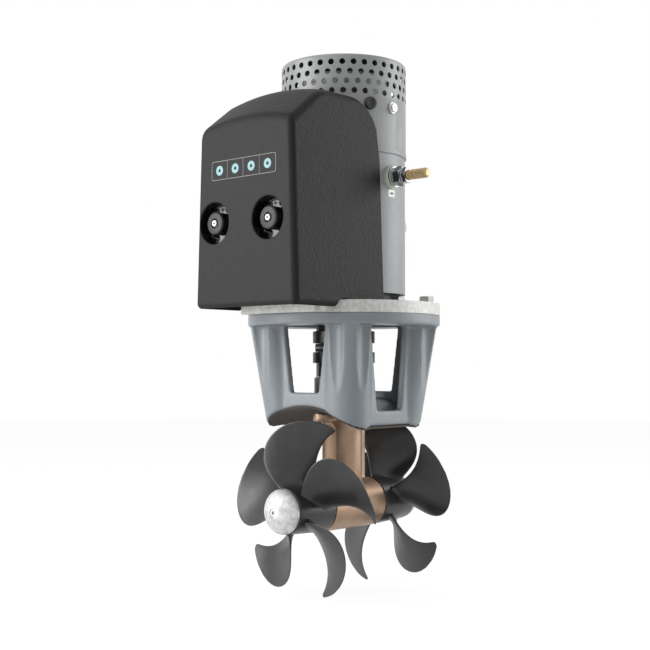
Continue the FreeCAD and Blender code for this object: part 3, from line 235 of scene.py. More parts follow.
# for each finish: its maker, colours, roughness and whatever else that maker takes
recipes = {
    "motorPaint": (paintedSheet, "989b9d", "8e9193", 0.36, 0.00004),
    "ventPaint": (paintedSheet, "9b9d9d", "8f9192", 0.34, 0.00003),
    "bracketPaint": (castPaint, "8d9296", "82888c", 0.34),
    # paler front colour and darker side and roof colour: painted light and painted shade on one moulded
    # plastic
    "coverPlastic": (coverGrainAndShade, "272727", "171615", 0.46),
    # near-black bowls, darker than the shell: painted shade in the recesses, over the bowls' own gloss
    "bowlBlack": (plainPlastic, "0d0d0d", 0.16, 0.00003),
    "knobPlastic": (plainPlastic, "101010", 0.5, 0.00012),
    "boxPlastic": (plainPlastic, "2b2b2b", 0.5),
    "propPlastic": (plainPlastic, "282828", 0.32, 0.00006),
    "bronze": (castMetal, "ad917a", "9b826c", 0.36, 26.0, 0.00008, 0.7),
    "zinc": (castMetal, "e0e0de", "c2c2c2", 0.36, 170.0, 0.00012, 0.5),
    "plateAlloy": (castMetal, "d6d6d3", "c2c1bd", 0.44, 230.0, 0.00012, 0.25),
    "brightSteel": (machined, "d6d6d6", "b4b4b4", 0.22, (1, 1, 6)),
    "whiteSteel": (machined, "e2e2e2", "c6c6c6", 0.26, (1, 1, 4), 0.7),
    "nutSteel": (machined, "b4b6ba", "8c8e92", 0.2, (1, 1, 4)),
    "washerSteel": (machined, "c4c5c7", "9c9da0", 0.25, (1, 1, 4)),
    "gearSteel": (machined, "a9a9aa", "868687", 0.3, (1, 1, 3)),
    "brass": (machined, "b8a27e", "9a8560", 0.3, (6, 1, 1), 0.85),
    "copper": (machined, "c98a62", "a56c48", 0.35, (1, 1, 5)),
    "iron": (castMetal, "6b6b6b", "4b4b4b", 0.5, 70.0, 0.0002),
    "turnedAlloy": (machined, "c2c4c6", "9a9c9e", 0.28, (1, 1, 12)),
    # near black for the inside of the vent cover: painted shade inside the cover
    "coupling": (plainPlastic, "151515", 0.34),
    # dark grey drive end shield: painted shade in the gap under the motor yoke
    "ventInside": (plainPlastic, "1c1c1c", 0.6),
    "shieldCasting": (castPaint, "3d3e3f", "303132", 0.5),
    "insulator": (plainPlastic, "c4cab4", 0.45),
    "carbon": (plainPlastic, "2a2a2a", 0.6),
    "rubber": (plainPlastic, "161515", 0.5),
    "gasket": (plainPlastic, "3a332d", 0.7),
    "printGrey": (plainPlastic, "8f908e", 0.5),
    "printTeal": (plainPlastic, "8fb9bd", 0.5),
    "tagWhite": (plainPlastic, "e6e6e4", 0.4),
    "tagBlack": (plainPlastic, "141414", 0.4),
}
finishes = {name: make(name, *values) for name, (make, *values) in recipes.items()}
slotFinish = {
    "bronze": "bronze", "gear_steel": "gearSteel", "bright_steel": "brightSteel",
    "bearing_steel": "gearSteel", "seal_rubber": "rubber", "prop_plastic": "propPlastic",
    "zinc": "zinc", "painted_bracket": "bracketPaint", "gasket": "gasket",
    "plate_alloy": "plateAlloy", "motor_paint": "motorPaint", "vent_paint": "ventPaint",
    "pole_iron": "iron", "copper": "copper", "brass": "brass", "insulator": "insulator",
    "carbon": "carbon", "cover_plastic": "coverPlastic", "knob_plastic": "knobPlastic",
    "box_plastic": "boxPlastic", "coupling_alloy": "turnedAlloy",
}
slotOf = {part["node"]: part["material_slot"] for part in frame["record"]["subparts"]}


def giveFinishes(piece, *names):
    piece.data.materials.clear()
    for name in names:
        piece.data.materials.append(finishes[name])


for name, piece in nodes.items():
    giveFinishes(piece, slotFinish[slotOf[name]])
print("finishes made and given to the nodes")


# mesh tools: outlines and sizes are in millimetres, mesh points and voxels in metres
def addPiece(name, verts, faces, finish, sharp=35):
    mesh = bpy.data.meshes.new(name)
    mesh.from_pydata([tuple(v) for v in verts], [], faces)
    mesh.validate()
    mesh.materials.append(finishes[finish])
    piece = bpy.data.objects.new(name, mesh)
    bpy.context.collection.objects.link(piece)
    work = bmesh.new()
    work.from_mesh(mesh)
    bmesh.ops.remove_doubles(work, verts=work.verts, dist=0.000002)
    bmesh.ops.recalc_face_normals(work, faces=work.faces)
    work.to_mesh(mesh)
    work.free()
    mesh.shade_smooth()
    mesh.set_sharp_from_angle(angle=math.radians(sharp))
    return piece


def loftRings(rings, closed=False):
    # rings of equal length, joined side by side, and either capped or closed into a loop
    verts = [v for ring in rings for v in ring]
    count = len(rings[0])
    faces = []
    for i in range(len(rings) if closed else len(rings) - 1):
        low, high = i * count, (i + 1) % len(rings) * count
        for j in range(count):
            k = (j + 1) % count
            faces.append((low + j, low + k, high + k, high + j))
    if not closed:
        faces.append(tuple(reversed(range(count))))
        faces.append(tuple(range(len(verts) - count, len(verts))))
    return verts, faces


def rounded(profile, radius=0.5, steps=4):
    # closed outline with its corners rounded, each within less than half of its shorter side
    points = []
    for i, corner in enumerate(profile):
        here = Vector((corner[0], corner[1]))
        before = Vector(profile[i - 1][:2]) - here
        after = Vector(profile[(i + 1) % len(profile)][:2]) - here
        size = corner[2] if len(corner) > 2 else radius
        size = min(size, before.length * 0.45, after.length * 0.45)
        if size < 0.02:
            points.append((here.x, here.y))
            continue
        start, end = here + before.normalized() * size, here + after.normalized() * size
        for k in range(steps + 1):
            t = k / steps
            point = start * (1 - t) ** 2 + here * 2 * t * (1 - t) + end * t * t
            points.append((point.x, point.y))
    return points


def placed(point, axis, centre):
    # point of a shape made about Z, turned so that its Z lies along axis
    direction = Vector(axis).normalized()
    turn = Vector((0, 0, 1)).rotation_difference(direction)
    return (turn @ Vector(point) + Vector(centre)) * mm


def lathe(profile, steps=96, axis=(0, 0, 1), centre=(0, 0, 0)):
    # closed (radius, height) outline, turned about an axis
    rings = []
    for i in range(steps):
        a = 2 * math.pi * i / steps
        rings.append([placed((r * math.cos(a), r * math.sin(a), z), axis, centre)
                      for r, z in profile])
    return loftRings(rings, closed=True)


def turned(name, profile, finish, axis=(0, 0, 1), centre=(0, 0, 0), steps=96, sharp=35):
    verts, faces = lathe(profile, steps, axis, centre)
    return addPiece(name, verts, faces, finish, sharp)


def wavy(name, profile, wave, finish, axis, centre=(0, 0, 0), steps=96, sharp=35, closed=True):
    # (radius, height, share of the wave in the radius, drop of the wave in the height)
    rings = []
    for r, z, inward, drop in profile:
        ring = []
        for i in range(steps):
            a = 2 * math.pi * i / steps
            reach = r * (1 - inward * wave(a))
            ring.append(placed((reach * math.cos(a), reach * math.sin(a), z - drop * wave(a)),
                               axis, centre))
        rings.append(ring)
    verts, faces = loftRings(rings, closed=closed)
    return addPiece(name, verts, faces, finish, sharp)


def hexPiece(flats, bottom, top, chamfer, axis, centre, finish, bore=0.0, both=False, turn=0.0):
    # hexagon head or nut about Z, its corners turned off as on a lathe
    apothem, steps = flats / 2, 12

    def ring(height, limit, drop):
        made = []
        for side in range(6):
            for k in range(steps):
                a = (k / steps - 0.5) * math.pi / 3
                reach = min(apothem / math.cos(a), limit)
                sag = max(0.0, apothem / math.cos(a) - apothem * 1.01) * drop
                b = a + side * math.pi / 3 + turn
                made.append((reach * math.cos(b), reach * math.sin(b), height - sag))
        return made

    def circle(radius, height):
        turns = [2 * math.pi * (i / (6 * steps) - 1 / 12) + turn for i in range(6 * steps)]
        return [(radius * math.cos(a), radius * math.sin(a), height) for a in turns]

    rings = [ring(bottom, apothem * 0.98 if both else flats, 0.0)]
    if both:
        rings.append(ring(bottom + chamfer * 0.15, flats, -0.55))
    rings += [ring(top - chamfer * 0.15, flats, 0.55), ring(top, apothem * 0.95, 0.0)]
    if bore:
        rings += [circle(bore + 0.4, top), circle(bore, top - 0.5), circle(bore, bottom)]
    rings = [[placed(v, axis, centre) for v in points] for points in rings]
    verts, faces = loftRings(rings, closed=bore > 0)
    return addPiece("hexagon", verts, faces, finish)


def hexSocket(a):
    # how far a hexagon's side lies inside its corners
    part = (a + math.pi / 6) % (math.pi / 3) - math.pi / 6
    return 1 - math.cos(math.pi / 6) / math.cos(part)


def socketRings(size, depth, top):
    # rings from the floor of a hexagon socket up to its mouth
    return [(0.05, top - depth, 0, 0), (size, top - depth, 1, 0), (size, top - 0.25, 1, 0),
            (size + 0.25, top, 1, 0)]


def collar(outer, inner, low, high, finish, axis, centre, bend=0.4):
    outline = rounded([(inner, low, 0.15), (outer, low, bend), (outer, high, bend),
                       (inner, high, 0.15)], bend)
    return turned("collar", outline, finish, axis, centre, 72)


def cutter(rings):
    verts, faces = loftRings(rings)
    return addPiece("tool", verts, faces, "carbon")


def plainRound(radius, start, end, axis=(0, 0, 1), centre=(0, 0, 0), steps=96):
    ring = [(radius * math.cos(2 * math.pi * i / steps), radius * math.sin(2 * math.pi * i / steps))
            for i in range(steps)]
    return cutter([[placed((x, y, z), axis, centre) for x, y in ring] for z in (start, end)])


def plainBlock(reach, bottom, top):
    # upright square block about Z
    across = (-reach, reach)
    verts = [(x * mm, y * mm, z * mm) for x in across for y in across for z in (bottom, top)]
    faces = [(0, 1, 3, 2), (4, 6, 7, 5), (0, 4, 5, 1), (2, 3, 7, 6), (0, 2, 6, 4), (1, 5, 7, 3)]
    return addPiece("tool", verts, faces, "carbon")


def bakeModifiers(piece):
    graph = bpy.context.evaluated_depsgraph_get()
    done = bpy.data.meshes.new_from_object(piece.evaluated_get(graph))
    old = piece.data
    piece.modifiers.clear()
    piece.data = done
    bpy.data.meshes.remove(old)


def carve(piece, tools, operation="DIFFERENCE"):
    for tool in tools:
        step = piece.modifiers.new("carve", "BOOLEAN")
        step.object = tool
        step.operation = operation
        step.solver = "EXACT"
        bakeModifiers(piece)
        bpy.data.objects.remove(tool)


def castOver(piece, voxel, rounds, finish):
    # even skin over the joined forms, its edges and creases eased as a casting's are
    skin = piece.modifiers.new("skin", "REMESH")
    skin.mode = "VOXEL"
    skin.voxel_size = voxel
    ease = piece.modifiers.new("ease", "SMOOTH")
    ease.factor = 0.5
    ease.iterations = rounds
    bakeModifiers(piece)
    giveFinishes(piece, finish)
    piece.data.shade_smooth()


def evenNormals(piece):
    # large flat faces keep their own direction right up to their rounded edges
    step = piece.modifiers.new("even", "WEIGHTED_NORMAL")
    step.keep_sharp = True
    bakeModifiers(piece)


def standIn(piece, node, body):
    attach(piece, body)
    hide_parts(node)
    return piece


def addedTo(piece, body):
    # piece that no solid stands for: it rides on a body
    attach(piece, body)


def joined(name, parts, node, body, sharp=35):
    work = bmesh.new()
    for part in parts:
        work.from_mesh(part.data)
    mesh = bpy.data.meshes.new(name)
    bmesh.ops.remove_doubles(work, verts=work.verts, dist=0.00002)
    work.to_mesh(mesh)
    work.free()
    for material in parts[0].data.materials:
        mesh.materials.append(material)
    for part in parts:
        bpy.data.objects.remove(part)
    piece = bpy.data.objects.new(name, mesh)
    bpy.context.collection.objects.link(piece)
    mesh.shade_smooth()
    mesh.set_sharp_from_angle(angle=math.radians(sharp))
    return standIn(piece, node, body)


def eased(node, width, finish=None):
    # the solid's own shape with its edges broken, as a file or a die leaves them
    mesh = nodes[node].data.copy()
    piece = bpy.data.objects.new("eased_" + node, mesh)
    bpy.context.collection.objects.link(piece)
    work = bmesh.new()
    work.from_mesh(mesh)
    bmesh.ops.remove_doubles(work, verts=work.verts, dist=0.000002)
    bmesh.ops.dissolve_limit(work, angle_limit=math.radians(2), verts=work.verts, edges=work.edges)
    work.to_mesh(mesh)
    work.free()
    soft = piece.modifiers.new("soft", "BEVEL")
    soft.width = width * mm
    soft.segments = 2
    soft.limit_method = "ANGLE"
    soft.angle_limit = math.radians(38)
    bakeModifiers(piece)
    if finish:
        giveFinishes(piece, finish)
    piece.data.shade_smooth()
    piece.data.set_sharp_from_angle(angle=math.radians(32))
    evenNormals(piece)
    standIn(piece, node, body_of(nodes[node])[0])


# propellers: five skewed blades on a tapered hub
blades = {"radius": 86.6, "count": 5, "rootRadius": 22.6, "pitch": 200.0, "origin": -103.4,
          "rootThick": 5.0, "tipThick": 1.5, "tipShare": 0.995, "spacing": 1.35, "swell": 0.42,
          "restTurn": 2.9977, "turnOn": math.radians(19.5),  # turned on from where the solids stand
          "farTurn": math.radians(68), "across": 22, "outward": 26, "cornerStart": 0.92,
          "cornerTurn": 0.13, "leadRoot": -1.84, "leadSweep": (1.056, 0.726, -0.363),
          "leadFall": (1.19, 0.278),
          "trail": (-1.621, 0.373, -0.592), "pitchFall": (1, 0.275, -0.39), "fillet": (2.2, 5.0)}
hub = {"start": 38.6, "length": 48.6, "wide": 24.2, "narrow": 22.2, "bore": 7.4, "face": 19.0,
       "recess": 15.0, "recessDepth": 17.5}


def curve(factors, share):
    return factors[0] + factors[1] * share + factors[2] * share ** 2


def bladeRing(share, radius, fillet):
    law = blades
    fall, bend = law["leadFall"]
    lead = law["leadRoot"] + curve(law["leadSweep"], share) * max(0.0, 1 - share ** fall) ** bend
    trail = curve(law["trail"], share)
    corner = min(1.0, max(0.0, (share - law["cornerStart"]) / (1 - law["cornerStart"])))
    trail += law["cornerTurn"] * (1 - math.sqrt(1 - corner ** 2))
    lift = law["pitch"] / (2 * math.pi) * curve(law["pitchFall"], share)
    thick = law["rootThick"] + (law["tipThick"] - law["rootThick"]) * share
    slope = math.hypot(lift, radius)
    sides = ([], [])
    for i in range(law["across"] + 1):
        along = (1 - math.cos(math.pi * i / law["across"])) / 2
        angle = lead + (trail - lead) * along
        swell = thick / 2 * max(0.0, 1 - (2 * along - 1) ** 2) ** law["swell"] + fillet
        for side, points in zip((1, -1), sides):
            turn = angle + side * swell * lift / slope / radius
            x = law["origin"] - lift * angle + side * swell * radius / slope
            points.append(Vector((x, -radius * math.cos(turn), radius * math.sin(turn))) * mm)
    return sides[0] + sides[1][-2:0:-1]


def hubProfile():
    start, end = hub["start"], hub["start"] + hub["length"]
    floor = end - hub["recessDepth"]
    return rounded([(hub["bore"], start), (hub["wide"], start, 1.2), (hub["narrow"], end, 1.6),
                    (hub["face"], end), (hub["recess"], end, 0.4), (hub["recess"], floor),
                    (hub["bore"], floor)], 0.05)


def makePropeller(name, node, far):
    law = blades
    size, length = law["fillet"]
    rings = []
    for i in range(law["outward"] + 1):
        share = law["tipShare"] * (1 - (1 - i / law["outward"]) ** law["spacing"])
        radius = law["rootRadius"] + (law["radius"] - law["rootRadius"]) * share
        fillet = size * max(0.0, 1 - (radius - law["rootRadius"]) / length) ** 2
        rings.append(bladeRing(share, radius, fillet))
    blade = loftRings(rings)
    shapes = []
    first = law["restTurn"] + law["turnOn"]
    for k in range(law["count"]):
        spin = Matrix.Rotation(first + 2 * math.pi * k / law["count"], 3, "X")
        shapes.append(([spin @ v for v in blade[0]], blade[1]))
    shapes.append(lathe(hubProfile(), 128, (-1, 0, 0)))
    verts, faces = [], []
    for points, sides in shapes:
        faces += [tuple(f + len(verts) for f in side) for side in sides]
        verts += points
    turn = Matrix.Identity(3)
    if far:
        turn = Matrix.Rotation(law["farTurn"], 3, "X") @ Matrix.Rotation(math.pi, 3, "Z")
    piece = addPiece(name, [turn @ Vector(v) for v in verts], faces, "propPlastic", 40)
    standIn(piece, node, "propeller_train")


makePropeller("propellerNear", "propeller_left", False)
makePropeller("propellerFar", "propeller_right", True)
print("propellers made")


# zinc anodes: domed caps held by a socket screw
anodes = {"start": 87.3, "face": 88.0, "radius": 21.6, "collar": 20.8, "tip": 103.0,
          "tipRadius": 4.3, "bore": 4.0, "seat": 100.0, "rim": 1.6, "dome": (1.75, 0.86, 0.9)}


def makeAnode(name, node, side):
    z = anodes
    profile = [(z["bore"], z["start"]), (z["collar"], z["start"]), (z["collar"], z["face"]),
               (z["radius"] - 0.4, z["face"]), (z["radius"], z["face"] + 0.4)]
    flat, bend, climb = z["dome"]
    base = z["face"] + z["rim"]
    for i in range(15):
        t = i / 14
        profile.append((z["tipRadius"] + (z["radius"] - z["tipRadius"]) * (1 - t ** flat) ** bend,
                        base + (z["tip"] - base) * t ** climb))
    profile += [(z["tipRadius"] - 0.2, z["tip"]), (z["bore"], z["tip"] - 0.3), (z["bore"], z["seat"])]
    piece = turned(name, profile, "zinc", (side, 0, 0), steps=120, sharp=50)
    standIn(piece, node, "propeller_train")


makeAnode("anodeNear", "anode_left", -1)
makeAnode("anodeFar", "anode_right", 1)
print("anodes made")


# perforated cover over the brush end of the motor
vents = {"radius": 63.25, "wall": 1.0, "bottom": 348.0, "lipTop": 352.4, "lip": 0.45, "top": 442.5,
         "holeRadius": 2.95, "round": 36, "rows": 4, "firstRow": 434.4, "rowPitch": 9.36,
         "shift": -0.31, "firstTurn": 9.7, "ringSteps": 16, "shoulder": 2.6}


def ventSheet():
    # a patch of sheet round each hole, leaning as the rows step sideways
    v = vents
    pitch, half = 2 * math.pi / v["round"], v["rowPitch"] / 2
    count = v["ringSteps"]
    quarter = count // 4
    verts, faces = [], []

    def onSheet(angle, height, deep):
        r = v["radius"] - v["wall"] * deep
        verts.append(Vector((r * math.cos(angle), r * math.sin(angle), height)) * mm)
        return len(verts) - 1

    def atEdge(angle, height, across, up, deep):
        lean = -v["shift"] * pitch * (up / v["rowPitch"])
        return onSheet(angle + across + lean, height + up, deep)

    def makePatch(a, z):
        edge, rim = ([], []), ([], [])
        for k in range(count):
            t = 2 * math.pi * (k + 0.5) / count
            u, w = math.cos(t), math.sin(t)
            top = max(abs(u), abs(w))
            for deep in (0, 1):
                edge[deep].append(atEdge(a, z, u / top * pitch / 2, w / top * half, deep))
                rim[deep].append(onSheet(a + v["holeRadius"] * u / v["radius"],
                                         z + v["holeRadius"] * w, deep))
        for k in range(count):
            j = (k + 1) % count
            faces.append((edge[0][k], edge[0][j], rim[0][j], rim[0][k]))
            faces.append((edge[1][j], edge[1][k], rim[1][k], rim[1][j]))
            faces.append((rim[0][k], rim[0][j], rim[1][j], rim[1][k]))
        # corners that the ring of points cuts off
        for q in range(4):
            k = q * quarter + quarter // 2 - 1
            t = math.pi / 4 + q * math.pi / 2
            across, up = math.copysign(pitch / 2, math.cos(t)), math.copysign(half, math.sin(t))
            for deep in (0, 1):
                trio = (edge[deep][k], atEdge(a, z, across, up, deep), edge[deep][k + 1])
                faces.append(tuple(reversed(trio)) if deep else trio)

    for row in range(v["rows"]):
        for i in range(v["round"]):
            makePatch(math.radians(v["firstTurn"]) + pitch * (i + v["shift"] * row),
                      v["firstRow"] - v["rowPitch"] * row)
    return addPiece("ventHoles", verts, faces, "ventPaint", 30)


def makeVentCover():
    v = vents
    low = v["firstRow"] - v["rowPitch"] * (v["rows"] - 0.5)
    high = v["firstRow"] + v["rowPitch"] / 2
    outer, inner = v["radius"], v["radius"] - v["wall"]
    s, roof = v["shoulder"], v["top"] - v["wall"]
    sheet = ventSheet()
    cap = [(outer, high), (outer, v["top"] - s)]
    cap += [(outer - s + s * math.cos(t * math.pi / 12), v["top"] - s + s * math.sin(t * math.pi / 12))
            for t in range(1, 7)]
    cap += [(0.01, v["top"]), (0.01, roof), (inner - 1.2, roof), (inner, roof - 1.2), (inner, high)]
    skirt = rounded([(inner, low), (inner, v["bottom"]), (outer + v["lip"], v["bottom"], 0.4),
                     (outer + v["lip"], v["lipTop"], 0.4), (outer, v["lipTop"] + 0.1), (outer, low)],
                    0.02)
    parts = [sheet] + [turned("ventEnd", outline, "ventPaint", steps=144, sharp=40)
                       for outline in (cap, skirt)]
    piece = joined("ventCover", parts, "vent_cover", "housing")
    # inner faces get the near-black finish, painted shade inside the cover
    piece.data.materials.append(finishes["ventInside"])
    for face in piece.data.polygons:
        reach = math.hypot(face.center.x, face.center.y) / mm
        inward = face.normal.x * face.center.x + face.normal.y * face.center.y < 0
        under = face.normal.z < -0.5 and face.center.z / mm > v["top"] - 3
        if reach < inner + 0.35 and (inward or under):
            face.material_index = 1


makeVentCover()
print("vent cover made")


# bracket: a casting with four leaning columns, cut to sit on a round tunnel
casting = {"reach": 59.5, "wall": 7.0, "bend": 7.0, "columnTop": (52.0, 21.0),
           "columnFoot": (38.2, 22.8), "foot": 76.0, "ringBottom": 179.0, "ringTop": 189.5,
           "ringRadius": 97.0, "ringBore": 30.0, "saddle": 99.7, "saddleReach": 150.0, "floor": 5.5,
           "scallop": 11.0, "scallopPlane": 64.5, "scallopOffset": 50.0, "sills": (113.0, 95.3),
           "windowHalf": (27.6, 20.8), "windowCorner": 5.0, "windowDepth": (5.0, 12.0),
           "roomCorner": 1.17, "boss": (30.0, 127.5), "neckWay": (19.1, 50, 122.5),
           "shaftWay": (8.0, 110, 140), "boltPlace": 25.5, "boltHead": (6.2, 112.0, 140),
           "boltHole": (3.1, 80, 120),
           "voxel": 0.0013, "easing": 5}


def castingOutline(height):
    c = casting
    share = (height - c["foot"]) / (c["ringBottom"] - c["foot"])
    offset = c["columnFoot"][0] + (c["columnTop"][0] - c["columnFoot"][0]) * share
    radius = c["columnFoot"][1] + (c["columnTop"][1] - c["columnFoot"][1]) * share
    reach, bend = c["reach"], c["bend"]
    low = offset - math.sqrt((radius + bend) ** 2 - (reach + bend - offset) ** 2)
    away = Vector((reach + bend - offset, low - offset))
    bendCentre = Vector((reach + bend, low))
    first = math.atan2(away.y, away.x)
    points = []
    for k in range(7):
        a = math.pi + first * k / 6
        points.append(bendCentre + Vector((math.cos(a), math.sin(a))) * bend)
    for k in range(1, 24):
        a = first + (math.pi / 2 - 2 * first) * k / 24
        points.append(Vector((offset, offset)) + Vector((math.cos(a), math.sin(a))) * radius)
    points += [Vector((p.y, p.x)) for p in reversed(points[:7])]
    outline = []
    for q in range(4):
        spin = Matrix.Rotation(q * math.pi / 2, 2)
        outline += [spin @ p for p in points]
    return [Vector((p.x, p.y, height)) * mm for p in outline]


def windowTool(sill, turn):
    c = casting
    wide, foot = c["windowHalf"]
    top = c["ringBottom"]
    corners = [(-wide, top, 0.01), (-foot, sill), (foot, sill), (wide, top, 0.01)]
    # the sides run straight into the middle of each bend
    outline = [(-wide, top)] + rounded(corners, c["windowCorner"], 6)[5:-5] + [(wide, top)]
    spin = Matrix.Rotation(turn, 3, "Z")
    outside, inside = c["windowDepth"]
    return cutter([[spin @ Vector((x, y, z)) * mm for y, z in outline]
                   for x in (-c["reach"] - outside, -c["reach"] + inside)])


def saddleTool(radius):
    reach = casting["saddleReach"]
    return plainRound(radius, -reach, reach, (1, 0, 0), steps=256)


def makeBracket():
    c = casting
    top = c["ringTop"]
    heights = [c["foot"] + (c["ringBottom"] + 1 - c["foot"]) * i / 6 for i in range(7)]
    verts, faces = loftRings([castingOutline(h) for h in heights])
    body = addPiece("bracketCasting", verts, faces, "bracketPaint")
    tools = []
    for quarter in range(4):
        for side in (1, -1):
            at = Matrix.Rotation(quarter * math.pi / 2, 3, "Z") @ Vector(
                (-(c["scallopPlane"] + c["scallop"]), side * c["scallopOffset"], 0))
            tools.append(plainRound(c["scallop"], c["foot"], c["ringBottom"] + 1, centre=at, steps=64))
    carve(body, tools + [saddleTool(c["saddle"])])
    ring = rounded([(c["ringBore"], c["ringBottom"]), (c["ringRadius"], c["ringBottom"], 1.6),
                    (c["ringRadius"], top + 0.4), (c["ringBore"], top + 0.4)], 0.01)
    carve(body, [turned("ring", ring, "bracketPaint", steps=160)], "UNION")
    inner = c["reach"] - c["wall"]
    room = plainBlock(inner, c["foot"], top + 1)
    carve(room, [plainRound(inner * c["roomCorner"], c["foot"] - 1, top + 2, steps=128)], "INTERSECT")
    carve(room, [saddleTool(c["saddle"] + c["floor"])])
    ends, sides = c["sills"]
    carve(body, [room, windowTool(ends, 0), windowTool(ends, math.pi),
                 windowTool(sides, math.pi / 2), windowTool(sides, -math.pi / 2)])
    width, height = c["boss"]
    boss = plainRound(width, c["saddle"] - 6, height)
    carve(boss, [saddleTool(c["saddle"])])
    carve(body, [boss], "UNION")
    carve(body, [plainRound(*c["neckWay"]), plainRound(*c["shaftWay"])])
    for side in (1, -1):
        at = (side * c["boltPlace"], 0, 0)
        carve(body, [plainRound(*c["boltHead"], centre=at), plainRound(*c["boltHole"], centre=at)])
    castOver(body, c["voxel"], c["easing"], "bracketPaint")
    # the machined top face stays where the plate lies on it
    for v in body.data.vertices:
        v.co.z = min(v.co.z, top * mm)
    standIn(body, "bracket", "housing")


makeBracket()
print("bracket made")


# cover over the contactor: moulded shell with two bowls for its knobs
shell = {"front": -142.2, "side": 67.0, "rear": -18.0, "wall": 3.0, "skirtBottom": 193.5,
         "skirtEnd": -83.3, "rearBottom": 202.2, "frontTop": 363.0, "slopeEnd": -100.0,
         "roof": 395.5, "crown": 7.5, "rearRound": 36.0, "rearDrop": 1.3, "edge": 6.5, "lip": 6.0,
         "frontBend": 8.0, "roofBend": 11.0, "draft": 0.09, "draftHeight": 170, "draftMost": 1.2,
         "openEnd": 150.0, "motorWay": (64.5, 100, 500), "leadWay": (7.0, 54, 74), "leadTurn": 245.0,
         "leadHeight": 394.4}
bowls = {"places": {"left": 40.0, "right": -31.0}, "height": 274.5, "radius": 19.7,
         "depth": 12.7, "wall": 3.0, "studWay": 4.0, "ribs": 5.2, "mouth": 1.5, "floor": 12.0}


def shellOutline(inset, y, hollow):
    s = shell
    rise = s["crown"] * (1 - (y / s["side"]) ** 2)
    front, rear = s["front"] + inset, s["rear"] + (1.0 if hollow else 0.0)
    roof, bend = s["roof"] + rise - inset, s["rearRound"] - inset
    low = s["openEnd"] if hollow else s["skirtBottom"] + inset

    def bow(size):
        return max(0.4, size - inset)

    points = [(front, low, 0.4 if hollow else bow(s["lip"])),
              (front, s["frontTop"] + rise - inset * 0.9, bow(s["frontBend"])),
              (s["slopeEnd"] + inset * 0.35, roof, bow(s["roofBend"]))]
    points += [(rear - bend + bend * math.sin(t * math.pi / 24),
                roof - bend * s["rearDrop"] * (1 - math.cos(t * math.pi / 24)), 0.01)
               for t in range(13)]
    if hollow:
        points += [(rear, low, 0.4)]
    else:
        end, step = s["skirtEnd"], s["rearBottom"]
        points += [(rear, step, 0.3), (end + 6, step, 0.3), (end + 1.0, step - 2.0, 2.0),
                   (end - inset * 0.3, low, max(4.0, bow(s["lip"])))]
    outline = []
    for x, z in rounded(points, 0.4, 5):
        height = max(0.0, (z - s["skirtBottom"]) / s["draftHeight"])
        lean = 1 - s["draft"] * min(s["draftMost"], height)
        outline.append(Vector((x, y * lean, z)) * mm)
    return outline


def shellForm(gap, hollow):
    side, edge = shell["side"] - gap, shell["edge"] - gap * 0.8
    ends = [(side - edge * (1 - math.cos(k * math.pi / 14)), edge * (1 - math.sin(k * math.pi / 14)))
            for k in range(8)]
    rings = [shellOutline(gap + inset, -place, hollow) for place, inset in ends]
    rings += [shellOutline(gap, (side - edge) * (k / 12 - 1), hollow) for k in range(1, 24)]
    rings += [shellOutline(gap + inset, place, hollow) for place, inset in reversed(ends)]
    verts, faces = loftRings(rings)
    return addPiece("contactorCover", verts, faces, "coverPlastic")


def bowlRibs(a):
    # four ribs, on the diagonals of the bowl
    return (max(0.0, math.cos(2 * (a - math.pi / 4))) ** 6
            + max(0.0, math.cos(2 * (a + math.pi / 4))) ** 6)


def bowlTool(side):
    b = bowls
    r, deep, mouth, ribs = b["radius"], b["depth"], b["mouth"], b["ribs"]
    profile = [(r + mouth, -3, 0, 0)]
    profile += [(r + mouth * (1 - math.sin(t * math.pi / 8)), mouth * (1 - math.cos(t * math.pi / 8)),
                 0, 0) for t in range(5)]
    profile += [(r - 0.3, deep - 3.2, 0, 0.3), (r - 0.9, deep - 1.2, 0, 1.2),
                (r - 2.2, deep - 0.3, 0, ribs * 0.8), (r - 3.8, deep, 0, ribs),
                (r - 5.2, deep, 0, ribs), (r - 6.6, deep, 0, ribs * 0.6),
                (b["floor"], deep, 0, 0), (b["floor"] - 4.0, deep, 0, 0),
                (b["studWay"] + 0.3, deep, 0, 0), (b["studWay"], deep + 0.4, 0, 0),
                (b["studWay"], deep + 8, 0, 0)]
    return wavy("tool", profile, bowlRibs, "bowlBlack", (1, 0, 0),
                (shell["front"], side, b["height"]), closed=False)


def makeCover():
    s, b = shell, bowls
    body = shellForm(0.0, False)
    carve(body, [shellForm(s["wall"], True)])
    outer, floor = b["radius"] + b["wall"], b["depth"] + b["wall"]
    for side in b["places"].values():
        outline = rounded([(0.01, 1.2), (outer, 1.2, 0.2), (outer, floor, 2.0), (0.01, floor)], 0.01)
        cup = turned("tool", outline, "coverPlastic", (1, 0, 0), (s["front"], side, b["height"]))
        carve(cup, [shellForm(0.4, False)], "INTERSECT")
        carve(body, [cup], "UNION")
    carve(body, [bowlTool(side) for side in b["places"].values()])
    lead = math.radians(s["leadTurn"])
    ahead = (math.cos(lead), math.sin(lead), 0)
    carve(body, [plainRound(*s["motorWay"]),
                 plainRound(*s["leadWay"], ahead, (0, 0, s["leadHeight"]), 48)])
    # faces inside the bowls take the near-black finish, which paints the shade in the recesses
    giveFinishes(body, "coverPlastic", "bowlBlack")
    for face in body.data.polygons:
        at = face.center / mm
        away = min(math.hypot(at.y - side, at.z - b["height"]) for side in b["places"].values())
        inBowl = away < b["radius"] + 0.6 and s["front"] + 0.9 < at.x < s["front"] + b["depth"] + 1.8
        face.material_index = 1 if inBowl else 0
    body.data.shade_smooth()
    body.data.set_sharp_from_angle(angle=math.radians(30))
    evenNormals(body)
    standIn(body, "cover", "cover_shell")


makeCover()
print("cover made")


# plain printed legend on the front of the cover: a thin frame, four fields, four discs
legend = {"left": 43.0, "right": -42.0, "low": 315.0, "high": 333.0, "line": 0.45, "raise": 0.04,
          "fields": 4, "disc": 4.6, "hole": 1.6, "corner": 2.4}


